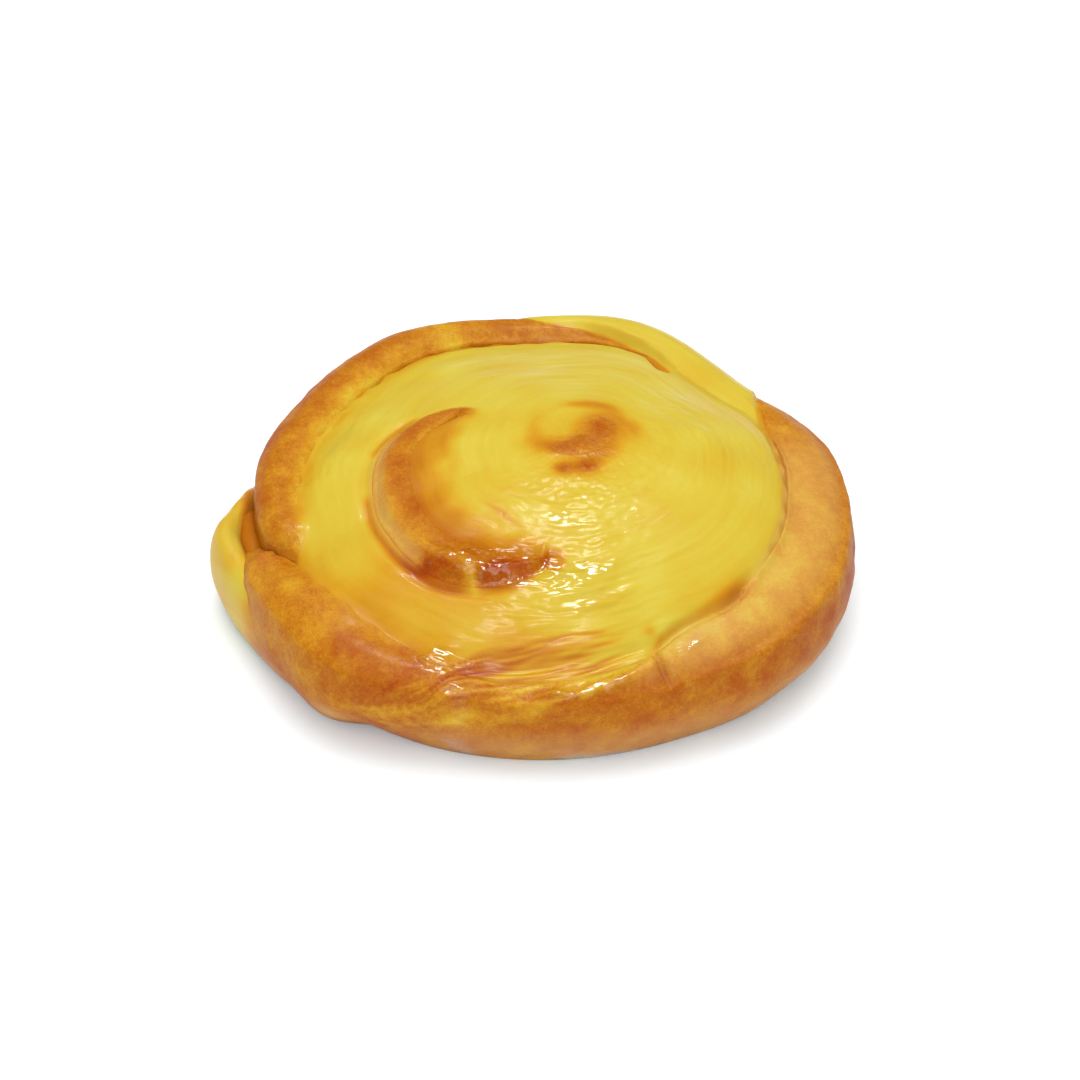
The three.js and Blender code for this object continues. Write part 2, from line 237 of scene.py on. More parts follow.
@dataclass(frozen=True)
class Winding:
    """A stretch of the strip, wound round a centre, with an upright oval section."""

    stations: tuple[Station, ...]
    centre: tuple[float, float]
    nose: float = 9.0  # degrees over which each free end is rounded off
    equator: float = 0.52  # height of the widest place, as a part of the crest height
    squareness: float = 0.88  # below 1 the upper half of the section is squarer
    fullness: float = 0.957  # the half widths are those of the ten-sided solid's corners
    sink: float = 1.24  # depth of the lower half over the equator's height; the base cuts it
    tuck: float = 0.4  # how much narrower the foot is
    missing: float = -20.0  # the height given where there is no strip

    @property
    def start(self) -> float:
        """The winding angle of the first station."""
        return self.stations[0].turn

    @property
    def end(self) -> float:
        """The winding angle of the last station."""
        return self.stations[-1].turn

    def measure(self, key: str, turn: np.ndarray) -> np.ndarray:
        """One measure of the strip.

        Args:
            key: the name of one of a station's measures.
            turn: winding angles.

        Returns:
            The cubic curve through the stations' values, at those angles.
        """
        t = np.array([s.turn for s in self.stations], float)
        v = np.array([getattr(s, key) for s in self.stations], float)
        return smooth_through(t, v, np.asarray(turn, float))

    def rounding(self, turn: np.ndarray) -> np.ndarray:
        """How full the strip is near its ends.

        Args:
            turn: winding angles.

        Returns:
            sqrt(1 - (1 - u)^2), a quarter circle, with u the way to the nearer end over the
            nose's length, and 1 beyond it.
        """
        left = np.minimum(turn - self.start, self.end - turn) / self.nose
        left = np.clip(left, 0.0, 1.0)
        return np.sqrt(1.0 - (1.0 - left) ** 2)

    def lie(self, turn: np.ndarray) -> tuple[np.ndarray, np.ndarray, np.ndarray, np.ndarray]:
        """The middle line and the direction across it.

        Args:
            turn: winding angles.

        Returns:
            x and y of centre + radius (cos, sin), then the x and y of the outward normal of
            that line, from its points half a degree before and after.
        """

        def point(at: np.ndarray) -> tuple[np.ndarray, np.ndarray]:
            """The middle line at winding angles."""
            r, a = self.measure("radius", at), np.radians(at)
            return self.centre[0] + r * np.cos(a), self.centre[1] + r * np.sin(a)

        x, y = point(turn)
        before, after = point(turn - 0.5), point(turn + 0.5)
        dx, dy = after[0] - before[0], after[1] - before[1]
        far = np.maximum(np.hypot(dx, dy), 1e-9)
        return x, y, dy / far, -dx / far

    def ring(
        self, turn: np.ndarray, t: np.ndarray, swell: float | np.ndarray = 0.0
    ) -> tuple[np.ndarray, np.ndarray, np.ndarray]:
        """Points on the strip's skin.

        Args:
            turn: winding angles.
            t: places round the section, in radians: 0 is outermost and a quarter turn is the
                crest.
            swell: how far the skin stands out from the dough.

        Returns:
            x, y and z. A point of the upper half lies out from the middle line by cos t to
            the power of the squareness times the half width, and up from the equator by sin t
            to that power times the height left. The lower half has the power 1, is tucked in
            and stops at the base.
        """
        x, y, across_x, across_y = self.lie(turn)
        full = self.rounding(turn)
        crest = self.measure("crest", turn)
        equator = self.equator * crest
        power = np.where(np.sin(t) >= 0, self.squareness, 1.0)
        rise = keep_sign_power(np.sin(t), power)
        up = (crest - equator) * (0.35 + 0.65 * full) + swell
        z = equator + rise * np.where(rise > 0, up, self.sink * equator)
        z = np.maximum(z, 0.0)
        tucked = 1.0 - self.tuck * np.maximum(1.0 - z / equator, 0.0) ** 2
        reach = keep_sign_power(np.cos(t), power) * tucked
        half = np.where(reach > 0, self.measure("outer", turn), self.measure("inner", turn))
        out = reach * (half * self.fullness * full + swell)
        out = out + self.measure("lean", turn) * (z - equator)
        return x + across_x * out, y + across_y * out, z

    def top(self, x: np.ndarray, y: np.ndarray, turns: int, swell: float = 0.0) -> np.ndarray:
        """The height of the strip's upper skin over places in plan.

        Args:
            x: places to the right.
            y: places behind.
            turns: how many whole turns are added to the angle of a place to get its winding.
            swell: how far the skin stands out from the dough.

        Returns:
            The upper half of the oval solved for z; outside the strip, a height that falls
            away from the equator at a steep slope.
        """
        dx, dy = x - self.centre[0], y - self.centre[1]
        turn = np.degrees(np.arctan2(dy, dx)) % 360.0 + 360.0 * turns
        radius, far = self.measure("radius", turn), np.hypot(dx, dy)
        step = self.measure("radius", turn + 1.0) - self.measure("radius", turn - 1.0)
        steep = np.hypot(1.0, step / (np.radians(2.0) * np.maximum(radius, 1.0)))
        d = (far - radius) / steep
        crest = self.measure("crest", turn)
        equator = self.equator * crest
        full = self.rounding(turn)
        up = (crest - equator) * (0.35 + 0.65 * full) + swell
        z = crest
        for _ in range(2):
            out = d - self.measure("lean", turn) * (z - equator)
            half = np.where(out > 0, self.measure("outer", turn), self.measure("inner", turn))
            half = np.maximum(half * self.fullness * full + swell, 0.05)
            u = np.clip(np.abs(out) / half, 0.0, 1.0)
            z = equator + up * (1.0 - u ** (2.0 / self.squareness)) ** (self.squareness / 2.0)
        z = z - 4.0 * np.maximum(np.abs(out) - half, 0.0)
        beyond = (turn < self.start) | (turn > self.end)
        return np.where(beyond, self.missing, z)


OUTER_CENTRE = (-0.2, -1.8)
CRESCENT_CENTRE = (0.8, -5.8)
CURL_CENTRE = (7.8, -3.8)
# Between these directions the outer turn's later lap gives way to its first.
LAP_CHANGE = (196.0, 216.0)

OUTER_TURN = Winding(
    centre=OUTER_CENTRE,
    nose=8.0,
    stations=(
        Station("under the end", 188, 49.8, 4.0, 3.8, 11.5),
        Station("front left shoulder", 195, 49.4, 4.4, 4.8, 13.8),
        Station("front left rise", 202, 48.6, 4.6, 6.1, 17.4),
        Station("front left lobe", 212, 47.9, 5.0, 7.6, 20.2, -0.03),
        Station("front left crest", 220, 47.8, 5.1, 8.2, 20.4, -0.07),
        Station("front left foot", 227, 47.6, 5.2, 9.2, 20.2, -0.07),
        Station("front left corner", 231.5, 46.9, 5.0, 9.6, 19.7, 0.04),
        Station("past the corner", 236, 46.5, 4.9, 8.6, 19.2, 0.13),
        Station("below the corner", 241, 46.6, 4.8, 7.4, 18.6, 0.11),
        Station("root of the layers", 249, 46.7, 4.6, 5.6, 17.7, 0.06),
        Station("front waist", 264, 46.6, 4.0, 4.5, 16.5, 0.02),
        Station("front", 282, 46.6, 4.0, 5.4, 17.4),
        Station("front ridge", 300, 46.8, 4.2, 7.2, 19.0, -0.03),
        Station("front right", 316, 48.2, 4.8, 9.0, 20.5, -0.05),
        Station("right front", 334, 48.9, 5.2, 9.8, 21.5, -0.06),
        Station("right side", 356, 48.1, 5.0, 9.5, 22.5, -0.06),
        Station("right back", 372, 47.5, 4.8, 9.0, 22.4, -0.03),
        Station("behind the right side", 385, 45.9, 4.4, 7.3, 22.0),
        Station("notch", 396, 44.4, 4.2, 6.8, 21.5),
        Station("back right", 408, 45.5, 5.2, 6.9, 20.9),
        Station("back coated", 428, 49.0, 5.0, 6.8, 21.3),
        Station("back", 452, 48.5, 5.2, 6.2, 21.1),
        Station("back left", 478, 48.0, 5.8, 7.0, 22.6),
        Station("left back", 500, 45.4, 6.0, 6.3, 22.9),
        Station("left", 518, 43.8, 5.6, 6.9, 23.1),
        Station("beside the bulge", 538, 44.2, 5.1, 6.1, 23.0, 0.05),
        Station("over the bulge", 554, 43.9, 5.0, 5.2, 22.4, 0.06),
        Station("left end", 564, 43.2, 4.8, 3.6, 21.4, 0.04),
    ),
)

CRESCENT = Winding(
    centre=CRESCENT_CENTRE,
    nose=7.0,
    stations=(
        Station("crescent tip", 850, 20.0, 1.2, 1.0, 28.9),
        Station("beside the tip", 857, 21.6, 2.6, 2.4, 28.8),
        Station("back of the crescent", 866, 23.0, 4.0, 3.4, 28.7),
        Station("back bend", 877, 24.4, 5.2, 3.7, 28.5),
        Station("left bend", 890, 25.4, 6.4, 4.1, 28.5),
        Station("left of the crescent", 906, 25.8, 6.8, 4.2, 28.4),
        Station("front left bend", 924, 26.4, 6.8, 4.2, 28.1),
        Station("front bend", 949, 27.7, 6.2, 4.3, 27.9),
        Station("front of the crescent", 964, 27.2, 5.8, 4.1, 27.8),
        Station("burnt end", 981, 25.6, 3.8, 3.5, 27.7),
        Station("crescent dives", 996, 24.4, 1.8, 1.6, 27.6),
    ),
)


# ---------------------------------------------------------------- what the oven made


@dataclass(frozen=True)
class Skin:
    """The bun's upper surface in plan: how high it is, whether custard or crust shows there,
    and how far each place has browned, with some shade and highlight painted in."""

    crest_height: float = 32.4  # the custard over the middle of the bun
    rim_drop: float = 2.5  # the custard sinks this far below the crest line of the outer turn
    bury: float = 1.0  # how deep a piece dives under the one that covers it
    reach: float = 45.0  # the crest line's usual distance from the middle

    # How steeply the custard falls away from its top, by direction.
    dome_fall: Curve = Curve(
        ((0, 0.85), (45, 1.15), (90, 1.45), (135, 1.3), (180, 0.95), (225, 0.8), (300, 0.8)),
        period=360.0,
    )
    # Radius inside which custard covers the outer turn, and radius outside which it does.
    inner_edge: Curve = Curve(
        (
            (0, 43.4), (11, 43.2), (23, 44.8), (30, 47.4), (36, 51), (40, 56), (43, 61),
            (46, 62), (50, 40.5), (60, 42.2), (68, 43.4), (76, 44.2), (84, 44.4), (92, 44.0),
            (106, 42.8), (118, 42.0), (130, 40.8), (142, 39.8), (165, 39.8), (178, 40.6),
            (190, 41.6), (201, 43.4), (212, 44.8), (228, 44.8), (242, 45.2), (256, 46.8),
            (268, 49.6), (285, 48.2), (290, 47.6), (296, 46.2), (301, 44.9), (306, 44.8),
            (310, 45.3), (314, 46.0), (319, 46.1), (324, 45.5), (336, 44.7), (350, 43.9),
        ),
        period=360.0,
    )
    outer_edge: Curve = Curve(
        (
            (0, 75), (44, 75), (47, 36), (52, 41.4), (58, 43.8), (65, 45.5), (70, 46.5),
            (78, 47.5), (84, 48.2), (89, 49.4), (94, 52.4), (100, 57), (106, 62), (120, 75),
            (359, 75),
        )
    )
    # How wide the crust's colour fades into the custard at its inner edge.
    fade: Curve = Curve(
        (
            (0, 1.4), (30, 1.4), (60, 1.2), (106, 2.0), (120, 3.4), (132, 5.5), (145, 7.0),
            (165, 6.5), (180, 5.5), (192, 4.0), (200, 2.6), (210, 4.0), (235, 5.0),
            (255, 5.5), (275, 4.0), (290, 2.4), (320, 1.6), (340, 1.4),
        ),
        period=360.0,
    )
    # The width of the fillet between the custard and the outer turn.
    fillet: Curve = Curve(
        (
            (0, 1.8), (30, 2.5), (55, 2.0), (75, 1.2), (100, 1.4), (125, 3.6), (165, 4.6),
            (195, 3.0), (215, 3.6), (250, 3.6), (280, 2.0), (300, 1.0), (326, 1.0), (345, 1.6),
        ),
        period=360.0,
    )
    # How thick the custard's film is where it laps over the outer turn.
    film: Curve = Curve(
        (
            (0, 0.12), (12, 0.3), (30, 0.7), (42, 0.9), (56, 1.0), (72, 1.0), (84, 0.6),
            (92, 0.3), (106, 0.2), (125, 0.12), (190, 0.12), (215, 0.2), (260, 0.2), (300, 0.12),
        ),
        period=360.0,
    )
    # The crescent's outer and inner edges: distance from its centre by winding angle.
    crescent_outside: Curve = Curve(
        (
            (845, 18.5), (855, 23.2), (870, 27.0), (890, 29.3), (915, 30.0), (935, 31.0),
            (952, 31.7), (970, 30.6), (985, 28.2), (998, 24.5),
        )
    )
    crescent_inside: Curve = Curve(
        ((845, 20.0), (860, 18.5), (895, 18.2), (925, 19.6), (950, 21.3), (975, 22.0), (998, 24.4))
    )
    # Where the crescent is brownest: the part of the way from its outer to its inner edge.
    crescent_core: Curve = Curve(
        ((850, 0.45), (880, 0.42), (905, 0.46), (925, 0.56), (942, 0.66), (965, 0.66), (990, 0.55))
    )
    # The pulled layers at the front, between two lines on the shoulder of the outer turn.
    fan_upper: Curve = Curve(
        (
            (232, 0.98), (238, 0.86), (244, 0.60), (250, 0.22), (254, -0.40), (259, -0.82),
            (266, -1.00), (276, -1.22), (284, -1.15), (300, -1.0),
        )
    )
    fan_lower: Curve = Curve(
        (
            (232, 1.20), (240, 1.20), (248, 1.16), (254, 0.98), (260, 0.85), (265, 0.73),
            (275, 0.50), (285, 0.28), (296, 0.05), (306, -0.2),
        )
    )
    # The dark first layer: the part of the way from the upper line to the lower it fills.
    wedge: Curve = Curve(
        ((236, 0.26), (245, 0.42), (250, 0.55), (256, 0.52), (262, 0.42), (270, 0.24), (280, 0.12))
    )
    # Bumps and creases: centre x and y, half length, half width, angle, then the height.
    bumps: tuple[tuple[tuple[float, ...], float], ...] = (
        # The end of the strip presses a short crease into the lap below it.
        ((-43.4, -16.1, 3.0, 0.55, 12.0), -0.7),
        # A fold across the front ridge, with a bump on each side of it.
        ((21.0, -44.3, 2.3, 0.5, 118.0), -1.9),
        ((23.0, -43.8, 2.2, 1.2, 118.0), 0.6),
        ((19.4, -44.6, 2.2, 1.2, 118.0), 0.3),
        ((26.7, -39.4, 2.4, 1.4, 40.0), 0.3),
        # The curl: its rounded end, its tail and the low ring of custard round it.
        ((11.6, 1.0, 3.8, 4.8, -10.0), 0.45),
        ((6.0, -4.0, 4.2, 2.6, 4.0), 0.35),
        ((7.4, -7.0, 4.6, 0.9, 4.0), -0.25),
    )
    # Browner and paler spots, as the bumps are given, then how much browner.
    spots: tuple[tuple[tuple[float, ...], float], ...] = (
        # The orange ledge inside the lip on the right front, a small spot, and darker lines along
        # the ledge's crease and along the fold across the front ridge, which are painted shade.
        ((33.6, -30.3, 4.2, 1.6, 43.0), 0.50),
        ((21.0, -44.3, 2.2, 0.45, 118.0), 0.26),
        ((28.2, -34.2, 4.2, 0.8, 40.0), 0.24),
        ((22.4, -38.0, 3.8, 0.5, 38.0), 0.26),
        ((20.3, -40.6, 1.8, 0.5, 60.0), 0.22),
        ((19.2, -38.5, 1.1, 0.9, 0.0), 0.32),
        # A paler place in the custard above the pulled layers.
        ((10.0, -33.0, 6.5, 3.5, 0.0), -0.06),
        # Custard smeared over the crust at the back left.
        ((-15.2, 41.5, 2.6, 3.4, 0.0), -0.26),
        ((-17.5, 46.0, 2.0, 2.4, 0.0), -0.20),
    )
    # The burnt spots under the crescent's front end.
    burnt: tuple[tuple[tuple[float, ...], float], ...] = (
        ((-19.6, -26.4, 3.4, 1.8, -50.0), 0.22),
        ((-15.2, -30.0, 4.6, 2.4, -30.0), 0.32),
        ((-4.7, -31.0, 5.0, 2.3, 2.0), 0.31),
        ((3.4, -28.4, 2.2, 2.1, 0.0), 0.34),
    )
    # The browned curl: its two lobes, the soft stain round them and the marks below it.
    curl_spots: tuple[tuple[tuple[float, ...], float], ...] = (
        ((11.8, 1.3, 4.2, 5.8, -10.0), 0.52),
        ((6.8, -4.2, 5.4, 2.6, 0.0), 0.39),
        ((8.6, -2.2, 9.0, 7.0, 0.0), 0.14),
        ((1.2, -0.2, 3.4, 2.0, 40.0), 0.09),
        ((10.0, 9.0, 5.4, 1.5, -8.0), 0.20),
        ((17.9, 1.0, 1.3, 3.6, 0.0), 0.14),
        ((5.0, -9.7, 1.8, 1.8, -12.0), 0.54),
        ((9.0, -9.2, 2.5, 2.0, 12.0), 0.60),
    )
    # Where the glaze stayed wet and rough: below the curl and the crescent, on the corner and
    # the lip of the pulled layers, and in places along the outer turn.
    wet_places: tuple[tuple[tuple[float, ...], float], ...] = (
        ((8.0, -15.0, 12.0, 8.0, 0.0), 0.36),
        ((12.0, -30.0, 12.0, 8.0, 0.0), 0.55),
        ((0.0, -36.0, 12.0, 4.0, 8.0), 0.4),
        ((-6.5, -28.6, 11.0, 3.2, -8.0), 1.9),
        ((-15.8, -42.2, 3.4, 2.6, 0.0), 1.5),
        ((-35.0, 3.0, 12.0, 3.5, 72.0), 0.5),
        ((26.0, 8.0, 8.0, 14.0, 0.0), 0.3),
        ((8.0, -48.2, 13.0, 1.3, 12.0), 1.3),
        ((-13.0, -48.0, 3.0, 1.2, 0.0), 0.8),
        ((26.5, -40.5, 3.0, 1.4, 40.0), 0.7),
    )
    # How dark the crust is by direction: inside the crest line, on it, on the shoulder, on the
    # flank and at the base. It is browning, and partly painted shade: the shoulder and flank are
    # darker than the crest, and the flank is darkest on the right side.
    tones: tuple[tuple[float, Curve], ...] = (
        (-0.75, Curve(
            (
                (0, 0.55), (25, 0.60), (45, 0.56), (75, 0.62), (95, 0.62), (120, 0.50),
                (150, 0.42), (175, 0.42), (196, 0.52), (212, 0.48), (235, 0.56), (250, 0.56),
                (270, 0.40), (300, 0.34), (325, 0.32), (345, 0.44),
            ), 360.0)),
        (0.0, Curve(
            (
                (0, 0.54), (20, 0.61), (36, 0.58), (60, 0.66), (80, 0.68), (98, 0.64),
                (125, 0.67), (150, 0.68), (175, 0.65), (196, 0.60), (212, 0.56), (228, 0.60),
                (244, 0.72), (256, 0.60), (275, 0.40), (300, 0.33), (320, 0.37), (340, 0.44),
            ), 360.0)),
        (0.5, Curve(
            (
                (0, 0.66), (20, 0.68), (36, 0.64), (60, 0.64), (100, 0.64), (135, 0.74),
                (158, 0.78), (178, 0.73), (200, 0.64), (220, 0.62), (240, 0.80), (250, 0.84),
                (260, 0.62), (272, 0.70), (286, 0.78), (300, 0.72), (315, 0.68), (330, 0.62),
                (345, 0.60),
            ), 360.0)),
        (0.95, Curve(
            (
                (0, 0.96), (20, 0.88), (100, 0.66), (180, 0.68), (206, 0.64), (222, 0.66),
                (240, 0.72), (252, 0.73), (270, 0.74), (290, 0.76), (310, 0.76), (330, 0.80),
                (345, 0.94),
            ), 360.0)),
        (1.35, Curve(((0, 0.72), (200, 0.74), (240, 0.76), (300, 0.71)), 360.0)),
    )

    def polar(self, x: np.ndarray, y: np.ndarray) -> tuple[np.ndarray, ...]:
        """The angle and distance of places from the outer turn's middle, and their x and y."""
        dx, dy = x - OUTER_CENTRE[0], y - OUTER_CENTRE[1]
        return np.degrees(np.arctan2(dy, dx)) % 360.0, np.hypot(dx, dy), dx, dy

    def rim(self, key: str, angle: np.ndarray) -> np.ndarray:
        """A measure of the outer turn.

        Args:
            key: the name of one of a station's measures.
            angle: directions from the centre.

        Returns:
            The measure there. Where the turn overlaps itself, it passes smoothly from the
            later lap to the first.
        """
        angle = np.mod(angle, 360.0)
        later = OUTER_TURN.measure(key, np.minimum(angle + 360.0, OUTER_TURN.end))
        earlier = OUTER_TURN.measure(key, np.maximum(angle, 203.0))
        passed = ease(angle, *LAP_CHANGE)
        return earlier * passed + later * (1.0 - passed)

    def shoulder(
        self, angle: np.ndarray, radius: np.ndarray, z: np.ndarray | None = None
    ) -> np.ndarray:
        """Where a place lies across the outer turn.

        Args:
            angle: directions from the centre.
            radius: distances from it.
            z: heights; without them the places are on the upper skin.

        Returns:
            0 on the crest line, 1 at the widest place and more below it; on the inner side
            the distance from the crest line over 5 mm, below 0.
        """
        half = OUTER_TURN.fullness * self.rim("outer", angle)
        crest = self.rim("crest", angle)
        upper = (1.0 - OUTER_TURN.equator) * crest
        past = radius - self.rim("radius", angle)
        if z is None:
            # The upper half of the section, as Winding.top has it.
            up = (1.0 - np.clip(past / half, 0.0, 1.0) ** 2.27) ** 0.44
        else:
            up = (z - OUTER_TURN.equator * crest) / upper
        past = past - self.rim("lean", angle) * upper * up
        out = past / half
        outer = 1.0 - np.arctan2(up, np.maximum(out, 1e-6)) * 2.0 / math.pi
        inner = past / 5.0
        return np.where(out > 0, outer, inner)

    def dome_plan(self, part: np.ndarray, angle: np.ndarray) -> tuple[np.ndarray, np.ndarray]:
        """Places on the custard in plan.

        Args:
            part: the part of the way from the custard's top to the crest line.
            angle: directions.

        Returns:
            x and y of centre + part * radius (cos, sin), where the centre moves from the
            curl's to the outer turn's as the square of the part.
        """
        radius = self.rim("radius", angle) * part
        shift = 1.0 - part * part
        x = OUTER_CENTRE[0] + (CURL_CENTRE[0] - OUTER_CENTRE[0]) * shift
        y = OUTER_CENTRE[1] + (CURL_CENTRE[1] - OUTER_CENTRE[1]) * shift
        a = np.radians(angle)
        return x + radius * np.cos(a), y + radius * np.sin(a)

    def dome_locate(self, x: np.ndarray, y: np.ndarray) -> tuple[np.ndarray, np.ndarray]:
        """dome_plan turned round.

        Args:
            x: places to the right.
            y: places behind.

        Returns:
            The part of the way and the angle, by taking the step from a centre to a part
            twelve times, halfway each time.
        """
        part = np.zeros(np.shape(x))
        angle = part
        for _ in range(12):
            shift = np.clip(1.0 - part * part, 0.0, 1.0)
            dx = x - OUTER_CENTRE[0] - (CURL_CENTRE[0] - OUTER_CENTRE[0]) * shift
            dy = y - OUTER_CENTRE[1] - (CURL_CENTRE[1] - OUTER_CENTRE[1]) * shift
            angle = np.degrees(np.arctan2(dy, dx)) % 360.0
            part = 0.5 * part + 0.5 * np.hypot(dx, dy) / self.rim("radius", angle)
        return part, angle

    def dome(self, x: np.ndarray, y: np.ndarray) -> np.ndarray:
        """The height of the custard before anything lifts it.

        Args:
            x: places to the right.
            y: places behind.

        Returns:
            rim + (top - rim) (1 - part^2) ^ fall, and less 1.5 (part - 1) past the crest line.
        """
        part, angle = self.dome_locate(x, y)
        rim = self.rim("crest", angle) - self.rim_drop
        inside = np.clip(1.0 - part * part, 0.0, 1.0) ** self.dome_fall(angle)
        return rim + (self.crest_height - rim) * inside - 1.5 * np.maximum(part - 1, 0)

    def cover(self, angle: np.ndarray, radius: np.ndarray) -> np.ndarray:
        """How far into the custard a place on the outer turn is.

        Args:
            angle: directions from the centre.
            radius: distances from it.

        Returns:
            The larger of how far it is inside the inner edge and outside the outer one, with
            a wobble near the inner edge. Below 0 the crust is bare.
        """
        wobble = 0.35 * Waves(11, 7.0)(np.radians(angle) * 44.0)
        inside = self.inner_edge(angle) - radius
        outside = radius - self.outer_edge(angle)
        return np.maximum(inside, outside) + wobble * ease(np.abs(inside), 12.0, 4.0)

    def outer_top(self, x: np.ndarray, y: np.ndarray) -> np.ndarray:
        """The height of the outer turn's dough.

        Args:
            x: places to the right.
            y: places behind.

        Returns:
            The higher of its two laps, with a fillet that is wider towards the middle.
        """
        first = OUTER_TURN.top(x, y, 0)
        second = OUTER_TURN.top(x, y, 1)
        _, radius, _, _ = self.polar(x, y)
        return soft_max(first, second, 0.5 + 3.5 * ease(46.5 - radius, 0.0, 4.0))

    def fan_lines(self, angle: np.ndarray, across: np.ndarray) -> tuple[np.ndarray, np.ndarray]:
        """The pulled layers at the front.

        Args:
            angle: directions from the centre.
            across: places across the outer turn.

        Returns:
            Which layer a place is on, from 0 on the innermost to 1 on the outermost: the
            layers leave one place at the foot of the front left and spread out. Then how
            strongly they show there.
        """
        upper, lower = self.fan_upper(angle), self.fan_lower(angle)
        line = (across - upper) / np.maximum(lower - upper, 0.1)
        shown = ease(angle, 230.0, 242.0) * (1.0 - ease(angle, 281.0, 298.0))
        return line, shown * within(line, 0.02, 0.98, 0.10)

    def stripes(self, angle: np.ndarray, line: np.ndarray) -> np.ndarray:
        """Uneven stripes along the pulled layers.

        Args:
            angle: directions from the centre.
            line: which layer a place is on.

        Returns:
            A broad and a fine random field, both drawn out along the layers, added up.
        """
        along = np.radians(angle) * 47.0
        broad = Waves(31, 0.30)(line, along / 60.0)
        fine = Waves(32, 0.10)(line, along / 90.0)
        return 0.6 * broad + 0.9 * fine

    def relief(self, x: np.ndarray, y: np.ndarray) -> np.ndarray:
        """Folds, creases and lips on the surface.

        Args:
            x: places to the right.
            y: places behind.

        Returns:
            The height they add, in millimetres.
        """
        angle, radius, dx, dy = self.polar(x, y)
        across = self.shoulder(angle, radius)
        line, shown = self.fan_lines(angle, across)
        total = 0.16 * shown * Waves(31, 0.26)(line, angle / 80.0)
        lip = bell(across - self.fan_lower(angle), 0.07, 0.09)
        total = total + 0.35 * lip * within(angle, 262.0, 292.0, 8.0)
        # The crease at the inner edge of the crust at the back, with a low ridge beside it.
        edge = radius - self.inner_edge(angle)
        back = within(angle, 58.0, 108.0, 6.0)
        total = total + back * (0.3 * bell(edge, 1.3, 0.8) - 0.5 * bell(edge, 0.0, 0.55))
        # The lip along the inner edge of the right front, and the crease inside it.
        right = within(angle, 298.0, 322.0, 5.0)
        total = total + right * (0.45 * bell(edge, 1.1, 0.9) - 0.7 * bell(edge, -0.4, 0.8))
        # A fainter one on the right side.
        side = within(angle, 2.0, 26.0, 6.0)
        total = total + side * (0.2 * bell(edge, 1.0, 0.7) - 0.32 * bell(edge, 0.0, 0.45))
        return total + spotted(dx, dy, self.bumps)

    def custard_relief(self, x: np.ndarray, y: np.ndarray) -> np.ndarray:
        """Fine ridges that follow the winding, and small lumps.

        Args:
            x: places to the right.
            y: places behind.

        Returns:
            The height they add, in millimetres.
        """
        part, angle = self.dome_locate(x, y)
        radius = part * self.reach
        a = np.radians(angle)
        streaks = Waves(3, 2.4)(radius + 4.0 * angle / 360.0, 2.0 * np.cos(a), 2.0 * np.sin(a))
        fine = Waves(4, 1.2, 36)(radius, 1.8 * np.cos(a), 1.8 * np.sin(a))
        lumps = Waves(5, 9.0)(x, y)
        inside = ease(part, 0.15, 0.4)
        calm = 0.6 + 0.5 * Waves(6, 16.0)(x, y)
        return inside * calm * (0.045 * streaks + 0.012 * fine) + 0.10 * lumps

    def crescent_place(
        self, x: np.ndarray, y: np.ndarray
    ) -> tuple[np.ndarray, np.ndarray, np.ndarray, np.ndarray]:
        """Where places lie against the crescent.

        Args:
            x: places to the right.
            y: places behind.

        Returns:
            The winding angle, the distance from the crescent's centre, how far inside its
            outer edge and how far outside its inner edge.
        """
        cx, cy = x - CRESCENT_CENTRE[0], y - CRESCENT_CENTRE[1]
        turn = np.degrees(np.arctan2(cy, cx)) % 360.0 + 720.0
        far = np.hypot(cx, cy)
        return turn, far, self.crescent_outside(turn) - far, far - self.crescent_inside(turn)

    def surface(self, x: np.ndarray, y: np.ndarray) -> tuple[np.ndarray, np.ndarray]:
        """The bun's top skin.

        Args:
            x: places to the right.
            y: places behind.

        Returns:
            The height of the skin without the custard's film, and how far into the custard
            a place is, in millimetres: below 0 the crust is bare.
        """
        angle, radius, dx, dy = self.polar(x, y)
        outer = self.outer_top(x, y)
        crescent = CRESCENT.top(x, y, 2)
        turn, far, within_edge, _ = self.crescent_place(x, y)
        # The custard stands in a shallow ditch along the crescent's outer edge.
        along = within(turn, 872.0, 970.0, 12.0)
        base = self.dome(x, y) - 0.8 * along * bell(within_edge, -0.6, 1.2)
        beyond = far - CRESCENT.measure("radius", turn)
        width = np.where(beyond > 0, 0.5, 0.5 + 3.0 * ease(-beyond, 0.0, 3.0))
        height = soft_max(base, crescent, width)
        height = soft_max(height, outer, self.fillet(angle))
        height = height + self.relief(x, y)
        past_ends = 0.45 * np.maximum(852.0 - turn, turn - 994.0)
        on_crescent = np.maximum(np.maximum(0.25 - within_edge, -3.4 - beyond), past_ends)
        on_curl = 4.0 * (0.5 - self.curl_lobes(dx, dy))
        on_outer = self.cover(angle, radius)
        on_outer = np.where(radius < 34.0, 10.0, on_outer)
        return height, np.minimum(np.minimum(on_crescent, on_curl), on_outer)

    def curl_lobes(self, dx: np.ndarray, dy: np.ndarray) -> np.ndarray:
        """The two browned lobes of the curl in the middle, from 0 to about 1."""
        main = mound(dx, dy, (11.6, 1.0, 3.8, 5.0, -10.0))
        return main + mound(dx, dy, (6.4, -4.1, 4.4, 2.5, 4.0))

    def film_over(self, angle: np.ndarray, radius: np.ndarray, into: np.ndarray) -> np.ndarray:
        """How far the custard's skin stands above the crust, or dives under it.

        Args:
            angle: directions from the centre.
            radius: distances from it.
            into: how far into the custard a place is.

        Returns:
            The film's thickness where custard shows, and below 0 where the crust is bare.
        """
        thick = 0.03 + (self.film(angle) - 0.03) * ease(radius, 22.0, 38.0)
        rise = thick * ease(into, 0.0, 1.6)
        return rise - self.bury * ease(-into, 0.0, 1.6)

